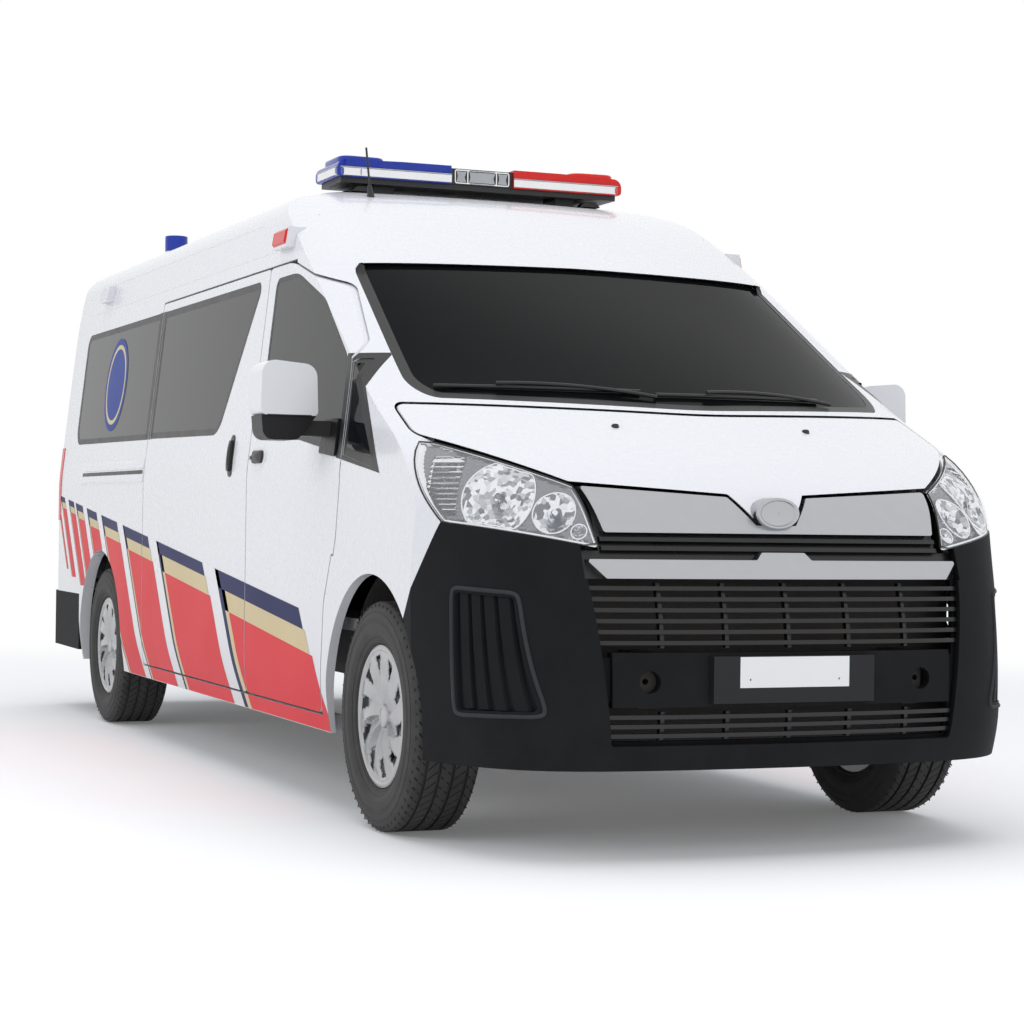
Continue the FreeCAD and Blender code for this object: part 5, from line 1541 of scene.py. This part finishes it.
# %% [markdown]
# ## Floor, light and background
# A plain pale floor catches the shadow.  Large soft lamps overhead, to the right and in front light
# the van evenly.  The white of the background comes from what the camera and the reflections see of the
# world and the floor, and not from more light on the van.

# %% Floor


def seen_white(tree):
    """1 for rays of the camera, of reflections and through glass."""
    path = tree.nodes.new("ShaderNodeLightPath")
    best = path.outputs["Is Camera Ray"]
    for other in ("Is Glossy Ray", "Is Transmission Ray"):
        larger = tree.nodes.new("ShaderNodeMath")
        larger.operation = "MAXIMUM"
        tree.links.new(best, larger.inputs[0])
        tree.links.new(path.outputs[other], larger.inputs[1])
        best = larger.outputs[0]
    return best


def studio_floor():
    """Matt near the van, so that it holds the shadow, and fading to plain white all round."""
    finish = Finish("studio_floor", base_color=(0.88, 0.88, 0.885), roughness=0.9, specular_ior_level=0.0,
                    emission_strength=1.0)
    white = Wire(finish, seen_white(finish.tree))
    finish.set(emission_color=finish.blend(white, (0, 0, 0), shaded((1, 1, 1), FLOOR_GLOW)))
    away = finish.node("ShaderNodeVectorMath", {"operation": "LENGTH"}, {0: finish.place()}, 1)
    fade = finish.node("ShaderNodeMapRange", {"interpolation_type": "SMOOTHSTEP"},
                       {"Value": away, "From Min": FADE_FROM, "From Max": FADE_TO}) * white
    plain = finish.node("ShaderNodeEmission", {}, {"Color": (1, 1, 1)})
    lit = Wire(finish, finish.shader.outputs[0])
    mixed = finish.node("ShaderNodeMixShader", {}, {0: fade, 1: lit, 2: plain})
    finish.plug(finish.tree.nodes["Material Output"].inputs["Surface"], mixed)
    mesh = bpy.data.meshes.new("studio_floor")
    corners = rectangle(-FLOOR_HALF, -FLOOR_HALF, FLOOR_HALF, FLOOR_HALF)
    mesh.from_pydata([(x, y, 0) for x, y in corners], [], [(0, 1, 2, 3)])
    mesh.materials.append(finish.material)
    floor = bpy.data.objects.new("studio_floor", mesh)
    floor.location.z = FLOOR_Z
    bpy.context.scene.collection.objects.link(floor)


FADE_FROM, FADE_TO = 4.2, 8.5   # distance from the middle over which the floor turns plain white
FLOOR_GLOW, FLOOR_HALF, FLOOR_Z = 0.12, 60, cad_box[0].z - 0.001
studio_floor()
print("floor at z %.3f m" % FLOOR_Z)

# %% Lamps and world
# name, place, target, width and length, watts
LAMPS = [("overhead", (0, 0, 14), (0, 0, 0), (16, 18), 1250),
         ("right_side", (-8.5, -2, 4.5), (0, 0, 1.0), (7, 4), 190),
         ("front", (1.5, -9.5, 4.5), (0, -2, 1.0), (6, 4), 150)]
for name, place, target, size, power in LAMPS:
    lamp = bpy.data.lights.new(name, "AREA")
    lamp.shape, lamp.size, lamp.size_y, lamp.energy = "RECTANGLE", *size, power
    box = bpy.data.objects.new(name, lamp)
    box.location = place
    box.rotation_euler = (Vector(target) - Vector(place)).to_track_quat("-Z", "Y").to_euler()
    box.visible_glossy = False
    bpy.context.scene.collection.objects.link(box)
world = bpy.data.worlds.new("studio")
bpy.context.scene.world = world
world.use_nodes = True
sky = world.node_tree
lighting, seen = sky.nodes["Background"], sky.nodes.new("ShaderNodeBackground")
for background, colour, strength in ((lighting, (0.80, 0.84, 0.90), 0.55), (seen, (1, 1, 1), 1.0)):
    background.inputs["Color"].default_value = (*colour, 1)
    background.inputs["Strength"].default_value = strength
choose = sky.nodes.new("ShaderNodeMixShader")
for number, source in enumerate((seen_white(sky), lighting.outputs[0], seen.outputs[0])):
    sky.links.new(source, choose.inputs[number])
sky.links.new(choose.outputs[0], sky.nodes["World Output"].inputs["Surface"])
bpy.context.scene.view_settings.view_transform = "Standard"
print("lamps and world are set")

# %% Sizes and end
print("CAD box", [tuple(round(v, 3) for v in c) for c in cad_box])
